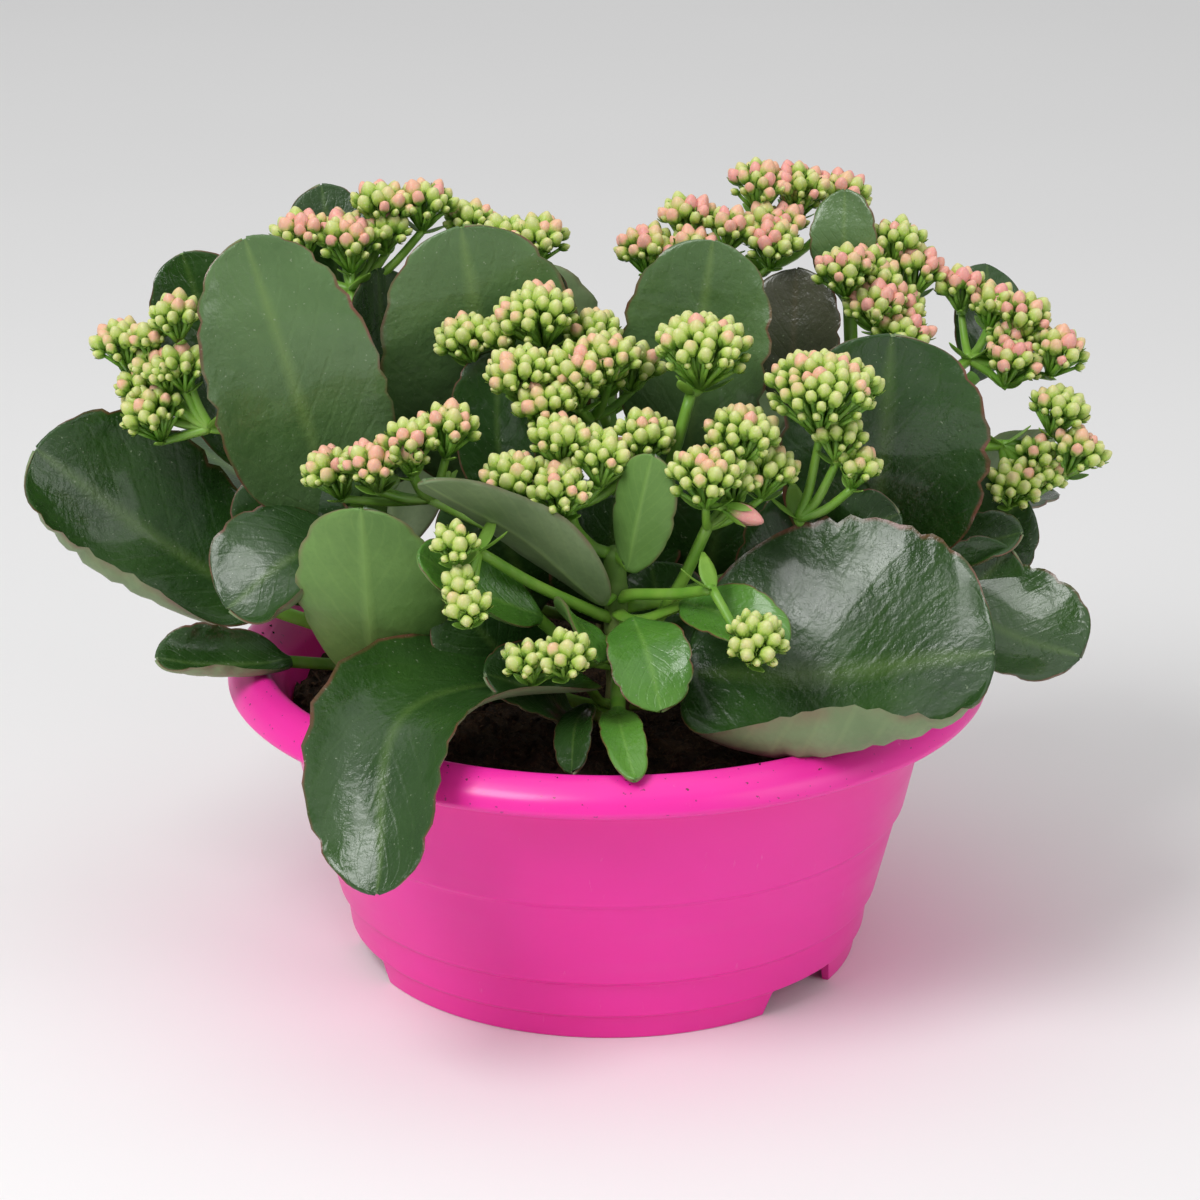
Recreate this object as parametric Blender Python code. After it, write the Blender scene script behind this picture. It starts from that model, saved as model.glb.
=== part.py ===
"""A bowl planter of pink plastic holding four budding kalanchoe plants.

Lengths in the tables are millimetres. X is to the right, Y to the back, Z up, and the bowl stands on
Z = 0 with its axis on the origin.
"""

import bpy
import numpy as np

MM = 0.001
GAP = 0.3
JOINT_GAP = 1.7

# ---------------------------------------------------------------- bowl and soil
RIM_TOP = 104.0
FLOOR_TOP = 12.4
FLOOR_UNDER = 10.0
SKIRT_INSIDE = 80.6
HUB_RADIUS = 15.0
SOIL_LEVEL = 88.0
BOWL_SIDES = 48
OUTSIDE = [
    (83.0, 0.0),
    (84.4, 8.3),
    (86.3, 9.4),
    (87.5, 21.0),
    (89.9, 22.4),
    (97.1, 51.6),
    (98.9, 53.2),
    (107.4, 91.0),
    (108.6, 93.6),
    (123.6, 92.9),
    (125.0, 94.2),
    (124.2, 97.4),
    (120.4, 101.8),
    (117.0, 103.6),
    (114.8, RIM_TOP),
    (112.6, 103.2),
]
INSIDE = [
    (106.2, 93.0),
    (96.4, 53.6),
    (94.5, 51.4),
    (87.4, 23.0),
    (84.9, 20.6),
    (83.6, FLOOR_TOP),
]
NOTCH_MIDDLES = (49.0, 169.0, -71.0)
NOTCH_HALF_ANGLE = 11.0
NOTCH_TOP = 8.6
DRAIN_RADIUS = 3.5
DRAIN_CIRCLE = 52.0

# ---------------------------------------------------------------- stems
# foot, bend and top of each plant's main stem, and its radius
STEMS = {
    "left": ((-70, 2, SOIL_LEVEL), (-75, 3, 140), (-78, 8, 186), 3.6),
    "back": ((0, 44, SOIL_LEVEL), (1, 45, 140), (-2, 46, 184), 3.8),
    "right": ((76, 14, SOIL_LEVEL), (80, 17, 140), (84, 22, 184), 3.8),
    "front": ((4, -40, SOIL_LEVEL), (3, -41, 120), (2, -43, 152), 3.8),
}

# ---------------------------------------------------------------- leaves
# root, tip: ends of the blade. face: where its upper side looks. arch: how far the midrib bows
# towards the face, sway: how far it bows to the right. right, left: lift and curl of each half in
# degrees. twist: turn from root to tip. stem, z: where its stalk meets a stem.
LEAVES = {
    "far_left": dict(root=(-113, 0, 116), tip=(-184, -6, 172), face=(-0.3, -0.6, 0.75), width=68,
                     arch=-6, right=(10, 0), left=(20, 75), stem="left", z=104),
    "low_left": dict(root=(-104, -24, 106), tip=(-144, -38, 112), face=(-0.2, -0.5, 0.85), width=30,
                     arch=-3, right=(45, 0), left=(50, 0), stem="left", z=96),
    "tall_left": dict(root=(-88, -8, 152), tip=(-114, -14, 244), face=(0.1, -0.95, 0.3), width=60,
                      arch=6, belly=0.47, right=(14, 10), left=(14, 10), stem="left", z=140),
    "dark_left": dict(root=(-112, 14, 158), tip=(-138, 24, 229), face=(0.5, -0.85, 0.2), width=44,
                      arch=-4, right=(25, 0), left=(25, 0), stem="left", z=150),
    "mid_left": dict(root=(-72, -38, 101), tip=(-76, -65, 172), face=(0.1, 0.9, 0.35), width=50,
                     arch=-6, right=(14, 0), left=(14, 0), stem="left", z=93),
    "glossy_left": dict(root=(-88, -18, 140), tip=(-124, -43, 131), face=(-0.2, -0.55, 0.8), width=42,
                        arch=6, right=(10, 0), left=(10, 70), stem="left", z=126),
    "left_peak": dict(root=(-88, 56, 200), tip=(-95, 62, 242), face=(0.0, -0.8, 0.5), width=30,
                      arch=4, right=(14, 0), left=(14, 0), stem="left", z=164),
    "centre_left": dict(root=(-34, 26, 148), tip=(-47, 12, 241), face=(0.0, -0.95, 0.3), width=70,
                        arch=6, belly=0.52, right=(14, 0), left=(12, 0), stem="back", z=128),
    "behind_left": dict(root=(-26, 56, 158), tip=(-28, 62, 217), face=(0.0, -0.95, 0.3), width=38,
                        arch=4, right=(14, 0), left=(14, 0), stem="back", z=150),
    "dark_upright": dict(root=(-32, -2, 150), tip=(-35, -6, 205), face=(-0.5, -0.85, 0.1), width=32,
                         arch=3, right=(18, 0), left=(18, 0), stem="back", z=142),
    "centre_right": dict(root=(26, 24, 150), tip=(34, 14, 236), face=(-0.15, -0.95, 0.3), width=54,
                         arch=5, right=(14, 0), left=(18, 0), stem="back", z=136),
    "bronze": dict(root=(62, 50, 170), tip=(63, 56, 215), face=(-0.1, -0.9, 0.4), width=34,
                   arch=3, right=(14, 0), left=(14, 0), stem="right", z=150),
    "great_right": dict(root=(86, -4, 128), tip=(90, -12, 212), face=(0.0, -0.97, 0.25), width=70,
                        arch=5, right=(12, 0), left=(12, 0), stem="right", z=110),
    "top_right": dict(root=(81, 60, 204), tip=(79, 63, 240), face=(-0.3, -0.9, 0.2), width=24,
                      arch=3, right=(14, 0), left=(14, 0), stem="right", z=166),
    "far_peak": dict(root=(126, 66, 176), tip=(129, 86, 208), face=(0.2, -0.7, 0.7), width=26,
                     arch=3, right=(14, 0), left=(14, 0), stem="right", z=158),
    "pale_right": dict(root=(120, 38, 140), tip=(150, 46, 160), face=(0.4, 0.5, 0.7), width=26,
                       arch=3, right=(14, 0), left=(14, 0), stem="right", z=138),
    "upper_right": dict(root=(108, 8, 124), tip=(134, -8, 144), face=(0.2, -0.5, 0.8), width=26,
                        arch=3, right=(20, 0), left=(20, 0), stem="right", z=120),
    "folded_right": dict(root=(102, -10, 113), tip=(148, -36, 115), face=(0.2, -0.4, 0.9), width=66,
                         arch=-11, right=(50, 40), left=(42, 0), stem="right", z=98),
    "scalloped": dict(root=(70, -31, 149), tip=(99, -39, 165), face=(0.1, -0.85, 0.5), width=26,
                      arch=3, right=(14, 0), left=(14, 0), stem="front", z=131),
    "great_front": dict(root=(28, -62, 115), tip=(118, -86, 123), face=(0.0, -0.56, 0.83), width=92,
                        arch=-4, belly=0.5, right=(12, 80), left=(7, 5), stem="front", z=104),
    "arched_front": dict(root=(-8, -52, 112), knee=(-62, -91, 114), tip=(-69, -137, 75),
                         face=(-0.3, -0.3, 0.9), width=50, belly=0.52, right=(14, 20), left=(10, 0),
                         stem="front", z=98),
    "lance_front": dict(root=(-1, -48, 135), tip=(-56, -74, 184), face=(0.5, 0.75, 0.4), width=34,
                        arch=3, right=(20, 0), left=(20, 0), stem="front", z=136),
    "upright_front": dict(root=(7, -52, 148), tip=(14, -58, 187), face=(0.3, 0.9, 0.2), width=23,
                          arch=-2, right=(10, 0), left=(10, 0), stem="front", z=149),
    "nest_left": dict(root=(-22, -58, 134), tip=(-58, -80, 162), face=(0.1, -0.6, 0.75), width=26,
                      arch=-3, right=(30, 0), left=(30, 0), stem="front", z=112),
    "nest_low": dict(root=(-14, -60, 137), tip=(-3, -82, 128), face=(0.0, -0.5, 0.85), width=22,
                     arch=4, right=(14, 0), left=(14, 0), stem="front", z=120),
    "bright_front": dict(root=(8, -62, 134), tip=(16, -92, 116), face=(0.1, -0.7, 0.7), width=27,
                         arch=5, right=(14, 0), left=(14, 0), stem="front", z=130),
    "rim_tongue": dict(root=(3, -68, 106), knee=(4, -97, 111), tip=(8, -121, 105), face=(0, -0.4, 0.9),
                       width=14, right=(14, 0), left=(14, 0), stem="front", z=108),
    "rim_dark": dict(root=(-7, -66, 107), tip=(-11, -101, 99), face=(-0.3, -0.5, 0.8), width=13,
                     arch=4, right=(14, 0), left=(14, 0), stem="front", z=93),
    "bright_right": dict(root=(24, -60, 139), tip=(54, -88, 135), face=(0.0, -0.5, 0.85), width=24,
                         arch=3, right=(20, 0), left=(20, 0), stem="front", z=127),
    "back_left": dict(root=(-30, 66, 120), tip=(-96, 110, 150), face=(-0.3, 0.3, 0.9), width=62,
                      arch=6, right=(14, 0), left=(14, 0), stem="back", z=104),
    "back_right": dict(root=(30, 68, 118), tip=(92, 112, 146), face=(0.3, 0.3, 0.9), width=64,
                       arch=6, right=(14, 0), left=(14, 0), stem="back", z=98),
    "back_middle": dict(root=(0, 76, 112), tip=(4, 148, 104), face=(0.0, 0.3, 0.95), width=56,
                        arch=12, right=(14, 0), left=(14, 0), stem="back", z=92),
    "back_upright": dict(root=(-12, 72, 140), tip=(-30, 96, 206), face=(0.0, 0.9, 0.3), width=48,
                         arch=5, right=(14, 0), left=(14, 0), stem="back", z=118),
    "back_far_left": dict(root=(-96, 30, 124), tip=(-150, 78, 150), face=(-0.3, 0.2, 0.9), width=52,
                          arch=5, right=(14, 0), left=(14, 0), stem="left", z=118),
    "back_far_right": dict(root=(96, 40, 116), tip=(150, 78, 132), face=(0.3, 0.2, 0.9), width=52,
                           arch=6, right=(14, 0), left=(14, 0), stem="right", z=104),
}

# ---------------------------------------------------------------- flower heads
# stem, z: where the branch leaves. fork: where it divides. umbels: x, y, z of the middle and radius.
HEADS = {
    "outer_left": dict(stem="left", z=170, fork=(-128, -2, 178), umbels=[
        (-157, 10, 204, 8), (-138, 0, 216, 7), (-137, -2, 200, 7), (-147, -4, 185, 9)]),
    "high_left": dict(stem="left", z=180, fork=(-84, 34, 214), umbels=[
        (-101, 38, 233, 8), (-84, 36, 231, 9), (-73, 44, 241, 9), (-59, 44, 242, 8)]),
    "high_middle": dict(stem="back", z=176, fork=(-36, 46, 214), umbels=[
        (-46, 48, 235, 6), (-35, 45, 230, 8), (-22, 44, 230, 8)]),
    "near_left": dict(stem="front", z=142, fork=(-56, -38, 166), umbels=[
        (-87, -37, 176, 8), (-74, -46, 181, 8), (-62, -45, 188, 8), (-50, -43, 192, 8)]),
    "middle_back": dict(stem="back", z=166, fork=(-3, 2, 196), umbels=[
        (-46, -4, 210, 8), (-23, -5, 218, 11), (-5, 2, 210, 8)]),
    "middle": dict(stem="back", z=158, fork=(-5, -10, 184), umbels=[
        (-28, -26, 205, 9), (-20, -32, 196, 8), (-10, -24, 206, 9), (1, -21, 209, 8), (9, -8, 202, 7)]),
    "tall_stalk": dict(stem="front", z=148, fork=(26, -30, 198), umbels=[(30, -28, 214, 13)]),
    "middle_front": dict(stem="front", z=150, fork=(-12, -47, 166), umbels=[
        (-30, -50, 178, 9), (-15, -44, 189, 8), (-15, -58, 176, 8), (-1, -48, 184, 8), (12, -41, 189, 8)]),
    "front_right": dict(stem="front", z=117, fork=(31, -53, 162), umbels=[
        (30, -62, 183, 10), (42, -48, 192, 10), (50, -47, 180, 8)]),
    "forked_stalk": dict(stem="right", z=118, fork=(60, -39, 160), umbels=[
        (67, -40, 204, 15), (78, -44, 180, 6)]),
    "back_crown": dict(stem="back", z=181, fork=(24, 58, 204), umbels=[
        (12, 62, 222, 8), (27, 68, 231, 8), (29, 56, 223, 7), (41, 60, 229, 7)]),
    "top_crown": dict(stem="back", z=169, fork=(50, 70, 210), umbels=[
        (51, 75, 240, 9), (65, 77, 239, 9), (79, 80, 236, 8), (55, 57, 225, 8)]),
    "right_crown": dict(stem="right", z=180, fork=(92, 44, 200), umbels=[
        (77, 41, 220, 8), (88, 40, 208, 8), (98, 38, 199, 8), (96, 60, 225, 8), (103, 57, 216, 8)]),
    "right_edge": dict(stem="right", z=170, fork=(120, 42, 188), umbels=[
        (118, 56, 210, 7), (128, 52, 206, 7), (138, 46, 203, 8), (135, 36, 190, 8), (150, 38, 193, 8)]),
    "right_low": dict(stem="right", z=160, fork=(130, 24, 164), umbels=[
        (149, 26, 177, 8), (155, 20, 164, 8), (134, 15, 154, 8)]),
    "nest_right": dict(stem="front", z=135, fork=(32, -77, 150), umbels=[(45, -98, 142, 8)]),
    "nest_front": dict(stem="front", z=114, fork=(-14, -80, 126), umbels=[
        (-25, -93, 133, 6), (-13, -95, 136, 7)]),
    "nest_left": dict(stem="front", z=128, fork=(-40, -70, 160), umbels=[
        (-47, -84, 168, 6), (-43, -91, 150, 6)]),
}


# ---------------------------------------------------------------- shapes
def unit(v):
    v = np.asarray(v, float)
    return v / np.linalg.norm(v)


def smooth_path(points, per_span):
    """A smooth curve through the points, with per_span steps from each to the next."""
    p = [np.asarray(q, float) for q in points]
    p = [2 * p[0] - p[1]] + p + [2 * p[-1] - p[-2]]
    out = []
    for i in range(1, len(p) - 2):
        steps = per_span[i - 1]
        m0 = (p[i + 1] - p[i - 1]) / 2
        m1 = (p[i + 2] - p[i]) / 2
        length = np.linalg.norm(p[i + 1] - p[i])
        m0 = m0 * min(1.0, length / max(np.linalg.norm(m0), 1e-9))
        m1 = m1 * min(1.0, length / max(np.linalg.norm(m1), 1e-9))
        for t in np.arange(steps) / steps:
            h = (2 * t**3 - 3 * t**2 + 1, t**3 - 2 * t**2 + t, -2 * t**3 + 3 * t**2, t**3 - t**2)
            out.append(h[0] * p[i] + h[1] * m0 + h[2] * p[i + 1] + h[3] * m1)
    out.append(p[-2])
    return np.array(out)


def stem_at(name, z):
    low, bend, top, radius = STEMS[name]
    path = smooth_path([low, bend, top], [12, 12])
    return np.array([np.interp(z, path[:, 2], path[:, k]) for k in range(3)]), radius


def soil_height(x, y):
    bumps = 1.6 * np.sin(0.11 * x + 0.6) * np.sin(0.13 * y + 1.1) + 0.9 * np.sin(0.29 * x - 0.21 * y)
    edge = -3.0 * np.clip((np.hypot(x, y) - 80) / 20, 0, 1)
    near = min(np.hypot(x - s[0][0], y - s[0][1]) for s in STEMS.values())
    return SOIL_LEVEL - 0.6 + (bumps + edge) * min(1.0, max(0.0, (near - 7.0) / 10.0))


def half_width(s, belly):
    """Outline of a blade from root (0) to tip (1), widest at belly, with a blunt tip."""
    blunt = 0.44
    taper = blunt * belly / (1 - belly)
    return (s**taper * (1 - s) ** blunt) / (belly**taper * (1 - belly) ** blunt)


def leaf_rows(spec, petiole_rows, blade_rows):
    """Centre line, frames and half widths of a leaf: stalk rows first, then blade rows."""
    root = np.array(spec["root"], float)
    tip = np.array(spec["tip"], float)
    face = unit(spec["face"])
    along = unit(tip - root)
    face = unit(face - along * face.dot(along))
    side = np.cross(along, face)
    middle = (root + tip) / 2 + face * spec.get("arch", 0) + side * spec.get("sway", 0)
    knee = np.array(spec.get("knee", middle), float)
    blade = smooth_path([root, knee, tip], [40, 40])
    foot, radius = stem_at(spec["stem"], spec["z"])
    out = unit((root - foot) * (1, 1, 0))
    foot = foot + out * (radius + JOINT_GAP)
    lift = foot + out * 0.35 * np.linalg.norm(root - foot) + (root - foot) * (0, 0, 0.25)
    stalk = smooth_path([foot, lift, root], [10, 10])
    fine = np.vstack([stalk[:-1], blade])
    split = len(stalk) - 1
    tangents = np.gradient(fine, axis=0)
    tangents = tangents / np.linalg.norm(tangents, axis=1)[:, None]
    tangents[0] = out
    faces = np.zeros_like(fine)
    faces[split] = unit(face - tangents[split] * face.dot(tangents[split]))
    for i in range(split + 1, len(fine)):
        faces[i] = unit(faces[i - 1] - tangents[i] * faces[i - 1].dot(tangents[i]))
    for i in range(split - 1, -1, -1):
        faces[i] = unit(faces[i + 1] - tangents[i] * faces[i + 1].dot(tangents[i]))
    s = 0.5 - 0.5 * np.cos(np.pi * (np.arange(blade_rows) + 0.6) / (blade_rows + 0.1))
    where = np.concatenate([np.linspace(0, split, petiole_rows), split + s * (len(fine) - 1 - split)])
    twist = np.radians(spec.get("twist", 0)) * np.clip((where - split) / (len(fine) - split), 0, 1)
    index = np.arange(len(fine))

    def pick(values):
        return np.stack([np.interp(where, index, values[:, k]) for k in range(3)], axis=1)

    centre, t, n = pick(fine), pick(tangents), pick(faces)
    t = t / np.linalg.norm(t, axis=1)[:, None]
    n = n - t * (n * t).sum(1)[:, None]
    n = n / np.linalg.norm(n, axis=1)[:, None]
    b = np.cross(t, n)
    n, b = (n * np.cos(twist)[:, None] - b * np.sin(twist)[:, None],
            b * np.cos(twist)[:, None] + n * np.sin(twist)[:, None])
    stalk_half = 2.2
    widths = np.full(len(where), stalk_half)
    widths[petiole_rows:] = np.maximum(spec["width"] / 2 * half_width(s, spec.get("belly", 0.56)), stalk_half)
    lifts = np.concatenate([np.zeros(petiole_rows), np.sin(np.pi * np.clip(s, 0, 1)) ** 0.5])
    return centre, t, n, b, widths, lifts


def leaf_grid(spec, petiole_rows=2, blade_rows=6, across=6):
    """Middle surface of a leaf as rows of points, and its thickness at each."""
    centre, t, n, b, widths, lifts = leaf_rows(spec, petiole_rows, blade_rows)
    v = np.linspace(-1, 1, across + 1)
    fine = np.linspace(0, 1, 33)
    middle = (fine[1:] + fine[:-1]) / 2
    points = np.zeros((len(centre), across + 1, 3))
    for i in range(len(centre)):
        for sign, (lift, curl) in ((1, spec["right"]), (-1, spec["left"])):
            angle = np.radians(lift) * middle * 2 + np.radians(curl) * np.clip((middle - 0.5) / 0.35, 0, 1)
            angle = angle * lifts[i]
            out = np.concatenate([[0], np.cumsum(np.cos(angle))]) / 32 * widths[i]
            up = np.concatenate([[0], np.cumsum(np.sin(angle))]) / 32 * widths[i]
            for j in range(across + 1):
                if sign * v[j] >= 0:
                    a = np.interp(abs(v[j]), fine, out)
                    h = np.interp(abs(v[j]), fine, up)
                    points[i, j] = centre[i] + b[i] * a * sign + n[i] * h
    thick = np.tile(1.9 - 0.8 * v**4, (len(centre), 1))
    thick[:petiole_rows] = 3.2 - 1.4 * v**2
    return points, thick


def grid_normals(points):
    du = np.gradient(points, axis=0)
    dv = np.gradient(points, axis=1)
    n = np.cross(dv, du)
    n = n / np.maximum(np.linalg.norm(n, axis=2), 1e-9)[..., None]
    return n


def leaf_solid(spec):
    points, thick = leaf_grid(spec)
    n = grid_normals(points)
    top = points - n * thick[..., None] / 2
    low = points + n * thick[..., None] / 2
    rows, cols = points.shape[:2]
    verts = np.concatenate([top.reshape(-1, 3), low.reshape(-1, 3)])
    half = rows * cols
    faces = []
    for i in range(rows - 1):
        for j in range(cols - 1):
            a = i * cols + j
            faces.append((a, a + cols, a + cols + 1, a + 1))
            faces.append((half + a, half + a + 1, half + a + cols + 1, half + a + cols))
    ring = [j for j in range(cols)]
    ring += [i * cols + cols - 1 for i in range(1, rows)]
    ring += [(rows - 1) * cols + j for j in range(cols - 2, -1, -1)]
    ring += [i * cols for i in range(rows - 2, 0, -1)]
    for a, c in zip(ring, ring[1:] + ring[:1]):
        faces.append((a, c, half + c, half + a))
    return verts, faces


def tube(path, radii, sides=7):
    """A closed tube along a path."""
    path = np.asarray(path, float)
    t = np.gradient(path, axis=0)
    t = t / np.linalg.norm(t, axis=1)[:, None]
    n = np.cross(t[0], (0.31, 0.95, 0.05))
    verts = []
    for i in range(len(path)):
        n = n - t[i] * n.dot(t[i])
        n = n / np.linalg.norm(n)
        b = np.cross(t[i], n)
        for k in range(sides):
            a = 2 * np.pi * k / sides
            verts.append(path[i] + radii[i] * (n * np.cos(a) + b * np.sin(a)))
    faces = []
    for i in range(len(path) - 1):
        for k in range(sides):
            a, c = i * sides + k, i * sides + (k + 1) % sides
            faces.append((a, c, c + sides, a + sides))
    faces.append(tuple(range(sides - 1, -1, -1)))
    faces.append(tuple((len(path) - 1) * sides + k for k in range(sides)))
    return np.array(verts), faces


def umbel(x, y, z, radius, sides=7):
    """A low dome of packed buds, as one lump."""
    rings = [(0.5, -0.6), (1.0, 0.02), (0.62, 0.62)]
    verts = []
    for k, (r, h) in enumerate(rings):
        for i in range(sides):
            a = 2 * np.pi * (i + 0.5 * (k % 2)) / sides
            verts.append((x + r * radius * np.cos(a), y + r * radius * np.sin(a), z + h * radius))
    faces = []
    for k in range(len(rings) - 1):
        for i in range(sides):
            a, c = k * sides + i, k * sides + (i + 1) % sides
            if k % 2:
                faces.append((a, c, c + sides))
                faces.append((a, c + sides, a + sides))
            else:
                faces.append((a, c, a + sides))
                faces.append((c, c + sides, a + sides))
    faces.append(tuple(range(sides - 1, -1, -1)))
    faces.append(tuple((len(rings) - 1) * sides + i for i in range(sides)))
    return np.array(verts), faces


def head_parts(spec):
    """The stalk of a flower head first, then its forks and umbels."""
    foot, radius = stem_at(spec["stem"], spec["z"])
    fork = np.array(spec["fork"], float)
    out = unit((fork - foot) * (1, 1, 0.0))
    foot = foot + out * (radius + JOINT_GAP)
    bend = foot + out * 4 + (0, 0, 2)
    path = smooth_path([foot, bend, (bend + fork) / 2 + out * 2, fork], [1, 1, 1])
    parts = [tube(path, [1.6, 1.9, 1.8, 1.7], sides=6)]
    for x, y, z, r in spec["umbels"]:
        end = np.array((x, y, z - 0.35 * r), float)
        start = fork - unit(end - fork) * 0.8
        parts.append(tube([start, end], [1.4, 1.2], sides=5))
        parts.append(umbel(x, y, z, r))
    return parts


def lathe(profile, sides=BOWL_SIDES, close=True):
    """Turn a closed profile, listed counter-clockwise in the (radius, z) plane, round the Z axis."""
    verts = []
    faces = []
    count = len(profile)
    index = []
    for r, z in profile:
        if r < 1e-6:
            index.append([len(verts)] * sides)
            verts.append((0.0, 0.0, z))
        else:
            index.append(list(range(len(verts), len(verts) + sides)))
            for k in range(sides):
                a = 2 * np.pi * k / sides
                verts.append((r * np.cos(a), r * np.sin(a), z))
    for i in range(count if close else count - 1):
        low, high = index[i], index[(i + 1) % count]
        for k in range(sides):
            m = (k + 1) % sides
            face = []
            for corner in (low[k], low[m], high[m], high[k]):
                if corner not in face:
                    face.append(corner)
            if len(face) > 2:
                faces.append(tuple(face))
    return np.array(verts), faces


def bowl_profile():
    under = [(SKIRT_INSIDE + 1.2, FLOOR_UNDER), (SKIRT_INSIDE, 0.0)]
    hub = [(0.0, 0.0), (HUB_RADIUS, 0.0), (HUB_RADIUS - 0.8, FLOOR_UNDER)]
    return hub + under + OUTSIDE + INSIDE + [(0.0, FLOOR_TOP)]


def notch_cutter(middle):
    """A block through the skirt of the foot, with leaning side walls."""
    verts = []
    for r in (SKIRT_INSIDE - 8, 92.0):
        for half, z in ((NOTCH_HALF_ANGLE + 1.6, -2.0), (NOTCH_HALF_ANGLE - 1.2, NOTCH_TOP)):
            for sign in (-1, 1):
                a = np.radians(middle - 90 + sign * half)
                verts.append((r * np.cos(a), r * np.sin(a), z))
    faces = [(0, 1, 3, 2), (5, 4, 6, 7), (1, 0, 4, 5), (2, 3, 7, 6), (0, 2, 6, 4), (3, 1, 5, 7)]
    return np.array(verts), [tuple(reversed(f)) for f in faces]


def soil_solid():
    """Soil that fills the bowl, with a slightly uneven top."""
    profile = [(0.0, FLOOR_TOP + GAP), (INSIDE[5][0] - 0.6, FLOOR_TOP + GAP)]
    profile += [(r - 0.6, z + 0.4) for r, z in reversed(INSIDE[1:5])]
    profile += [(102.6, 85.4), (92.0, 87.0), (76.0, 87.0), (58.0, 87.0), (38.0, 87.0), (18.0, 87.0),
                (0.0, 87.0)]
    verts, faces = lathe(profile, close=False)
    for v in verts:
        if v[2] > 80:
            v[2] = soil_height(v[0], v[1])
    return verts, faces


# ---------------------------------------------------------------- objects
for old in list(bpy.data.objects):
    bpy.data.objects.remove(old)

LOOKS = {
    "bowl": ((0.82, 0.045, 0.33), 0.35),
    "soil": ((0.035, 0.02, 0.012), 0.95),
    "stem": ((0.2, 0.34, 0.08), 0.5),
    "leaf": ((0.035, 0.12, 0.02), 0.35),
    "head": ((0.5, 0.6, 0.16), 0.45),
}


def add(name, verts, faces, look, helper=False):
    mesh = bpy.data.meshes.new(name)
    mesh.from_pydata([tuple(np.asarray(v) * MM) for v in verts], [], [tuple(map(int, f)) for f in faces])
    mesh.update()
    obj = bpy.data.objects.new(name, mesh)
    bpy.context.scene.collection.objects.link(obj)
    if helper:
        obj.hide_render = True
        obj.display_type = "WIRE"
        return obj
    colour, roughness = LOOKS[look]
    material = bpy.data.materials.new(name)
    material.use_nodes = True
    shader = material.node_tree.nodes["Principled BSDF"]
    shader.inputs["Base Color"].default_value = (*colour, 1)
    shader.inputs["Roughness"].default_value = roughness
    mesh.materials.append(material)
    return obj


def cut_or_join(obj, other, operation):
    step = obj.modifiers.new(other.name, "BOOLEAN")
    step.operation = operation
    step.solver = "EXACT"
    step.object = other


bowl = add("bowl", *lathe(bowl_profile()), "bowl")
for k, middle in enumerate(NOTCH_MIDDLES):
    cut_or_join(bowl, add(f"notch_{k}", *notch_cutter(middle), "bowl", helper=True), "DIFFERENCE")
for k in range(6):
    a = np.radians(60 * k + 15)
    x, y = DRAIN_CIRCLE * np.cos(a), DRAIN_CIRCLE * np.sin(a)
    hole = tube([(x, y, FLOOR_UNDER - 2), (x, y, FLOOR_TOP + 2)], [DRAIN_RADIUS] * 2, 10)
    cut_or_join(bowl, add(f"drain_{k}", *hole, "bowl", helper=True), "DIFFERENCE")

add("soil", *soil_solid(), "soil")

for name, (low, bend, top, radius) in STEMS.items():
    low = (low[0], low[1], soil_height(low[0], low[1]) + 1.0)
    path = smooth_path([low, bend, top], [3, 3])
    add(f"stem_{name}", *tube(path, [radius + 0.6, radius + 0.2] + [radius] * 4 + [radius - 0.8], 8), "stem")

for name, spec in LEAVES.items():
    add(f"leaf_{name}", *leaf_solid(spec), "leaf")

for name, spec in HEADS.items():
    first, *rest = head_parts(spec)
    head = add(f"flowers_{name}", *first, "head")
    for k, piece in enumerate(rest):
        cut_or_join(head, add(f"{name}_{k}", *piece, "head", helper=True), "UNION")
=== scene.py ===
"""The looks of a pink bowl planter of budding kalanchoe plants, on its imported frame.

Lengths in the tables are millimetres, and MM turns them into metres when a mesh is made.
"""

import bpy
import numpy as np
from mathutils import Matrix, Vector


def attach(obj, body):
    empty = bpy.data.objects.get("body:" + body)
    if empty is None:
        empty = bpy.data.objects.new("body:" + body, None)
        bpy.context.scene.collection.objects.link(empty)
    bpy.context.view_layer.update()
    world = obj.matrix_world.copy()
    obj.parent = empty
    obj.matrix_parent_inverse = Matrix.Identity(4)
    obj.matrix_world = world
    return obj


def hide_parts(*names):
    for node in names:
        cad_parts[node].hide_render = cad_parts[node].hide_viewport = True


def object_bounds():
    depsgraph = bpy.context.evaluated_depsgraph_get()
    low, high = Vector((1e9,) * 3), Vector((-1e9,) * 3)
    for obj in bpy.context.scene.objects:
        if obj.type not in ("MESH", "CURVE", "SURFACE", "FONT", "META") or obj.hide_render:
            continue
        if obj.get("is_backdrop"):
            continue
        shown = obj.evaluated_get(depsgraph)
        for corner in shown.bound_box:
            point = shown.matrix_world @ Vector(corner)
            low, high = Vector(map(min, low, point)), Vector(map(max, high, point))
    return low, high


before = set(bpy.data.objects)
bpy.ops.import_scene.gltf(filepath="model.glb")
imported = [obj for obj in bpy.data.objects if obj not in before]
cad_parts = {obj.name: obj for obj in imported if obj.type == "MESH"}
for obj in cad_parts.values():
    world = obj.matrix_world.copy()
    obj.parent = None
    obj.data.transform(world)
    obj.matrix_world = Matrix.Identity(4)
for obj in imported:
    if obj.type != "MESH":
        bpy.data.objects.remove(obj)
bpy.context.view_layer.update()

MM = 0.001

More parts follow.
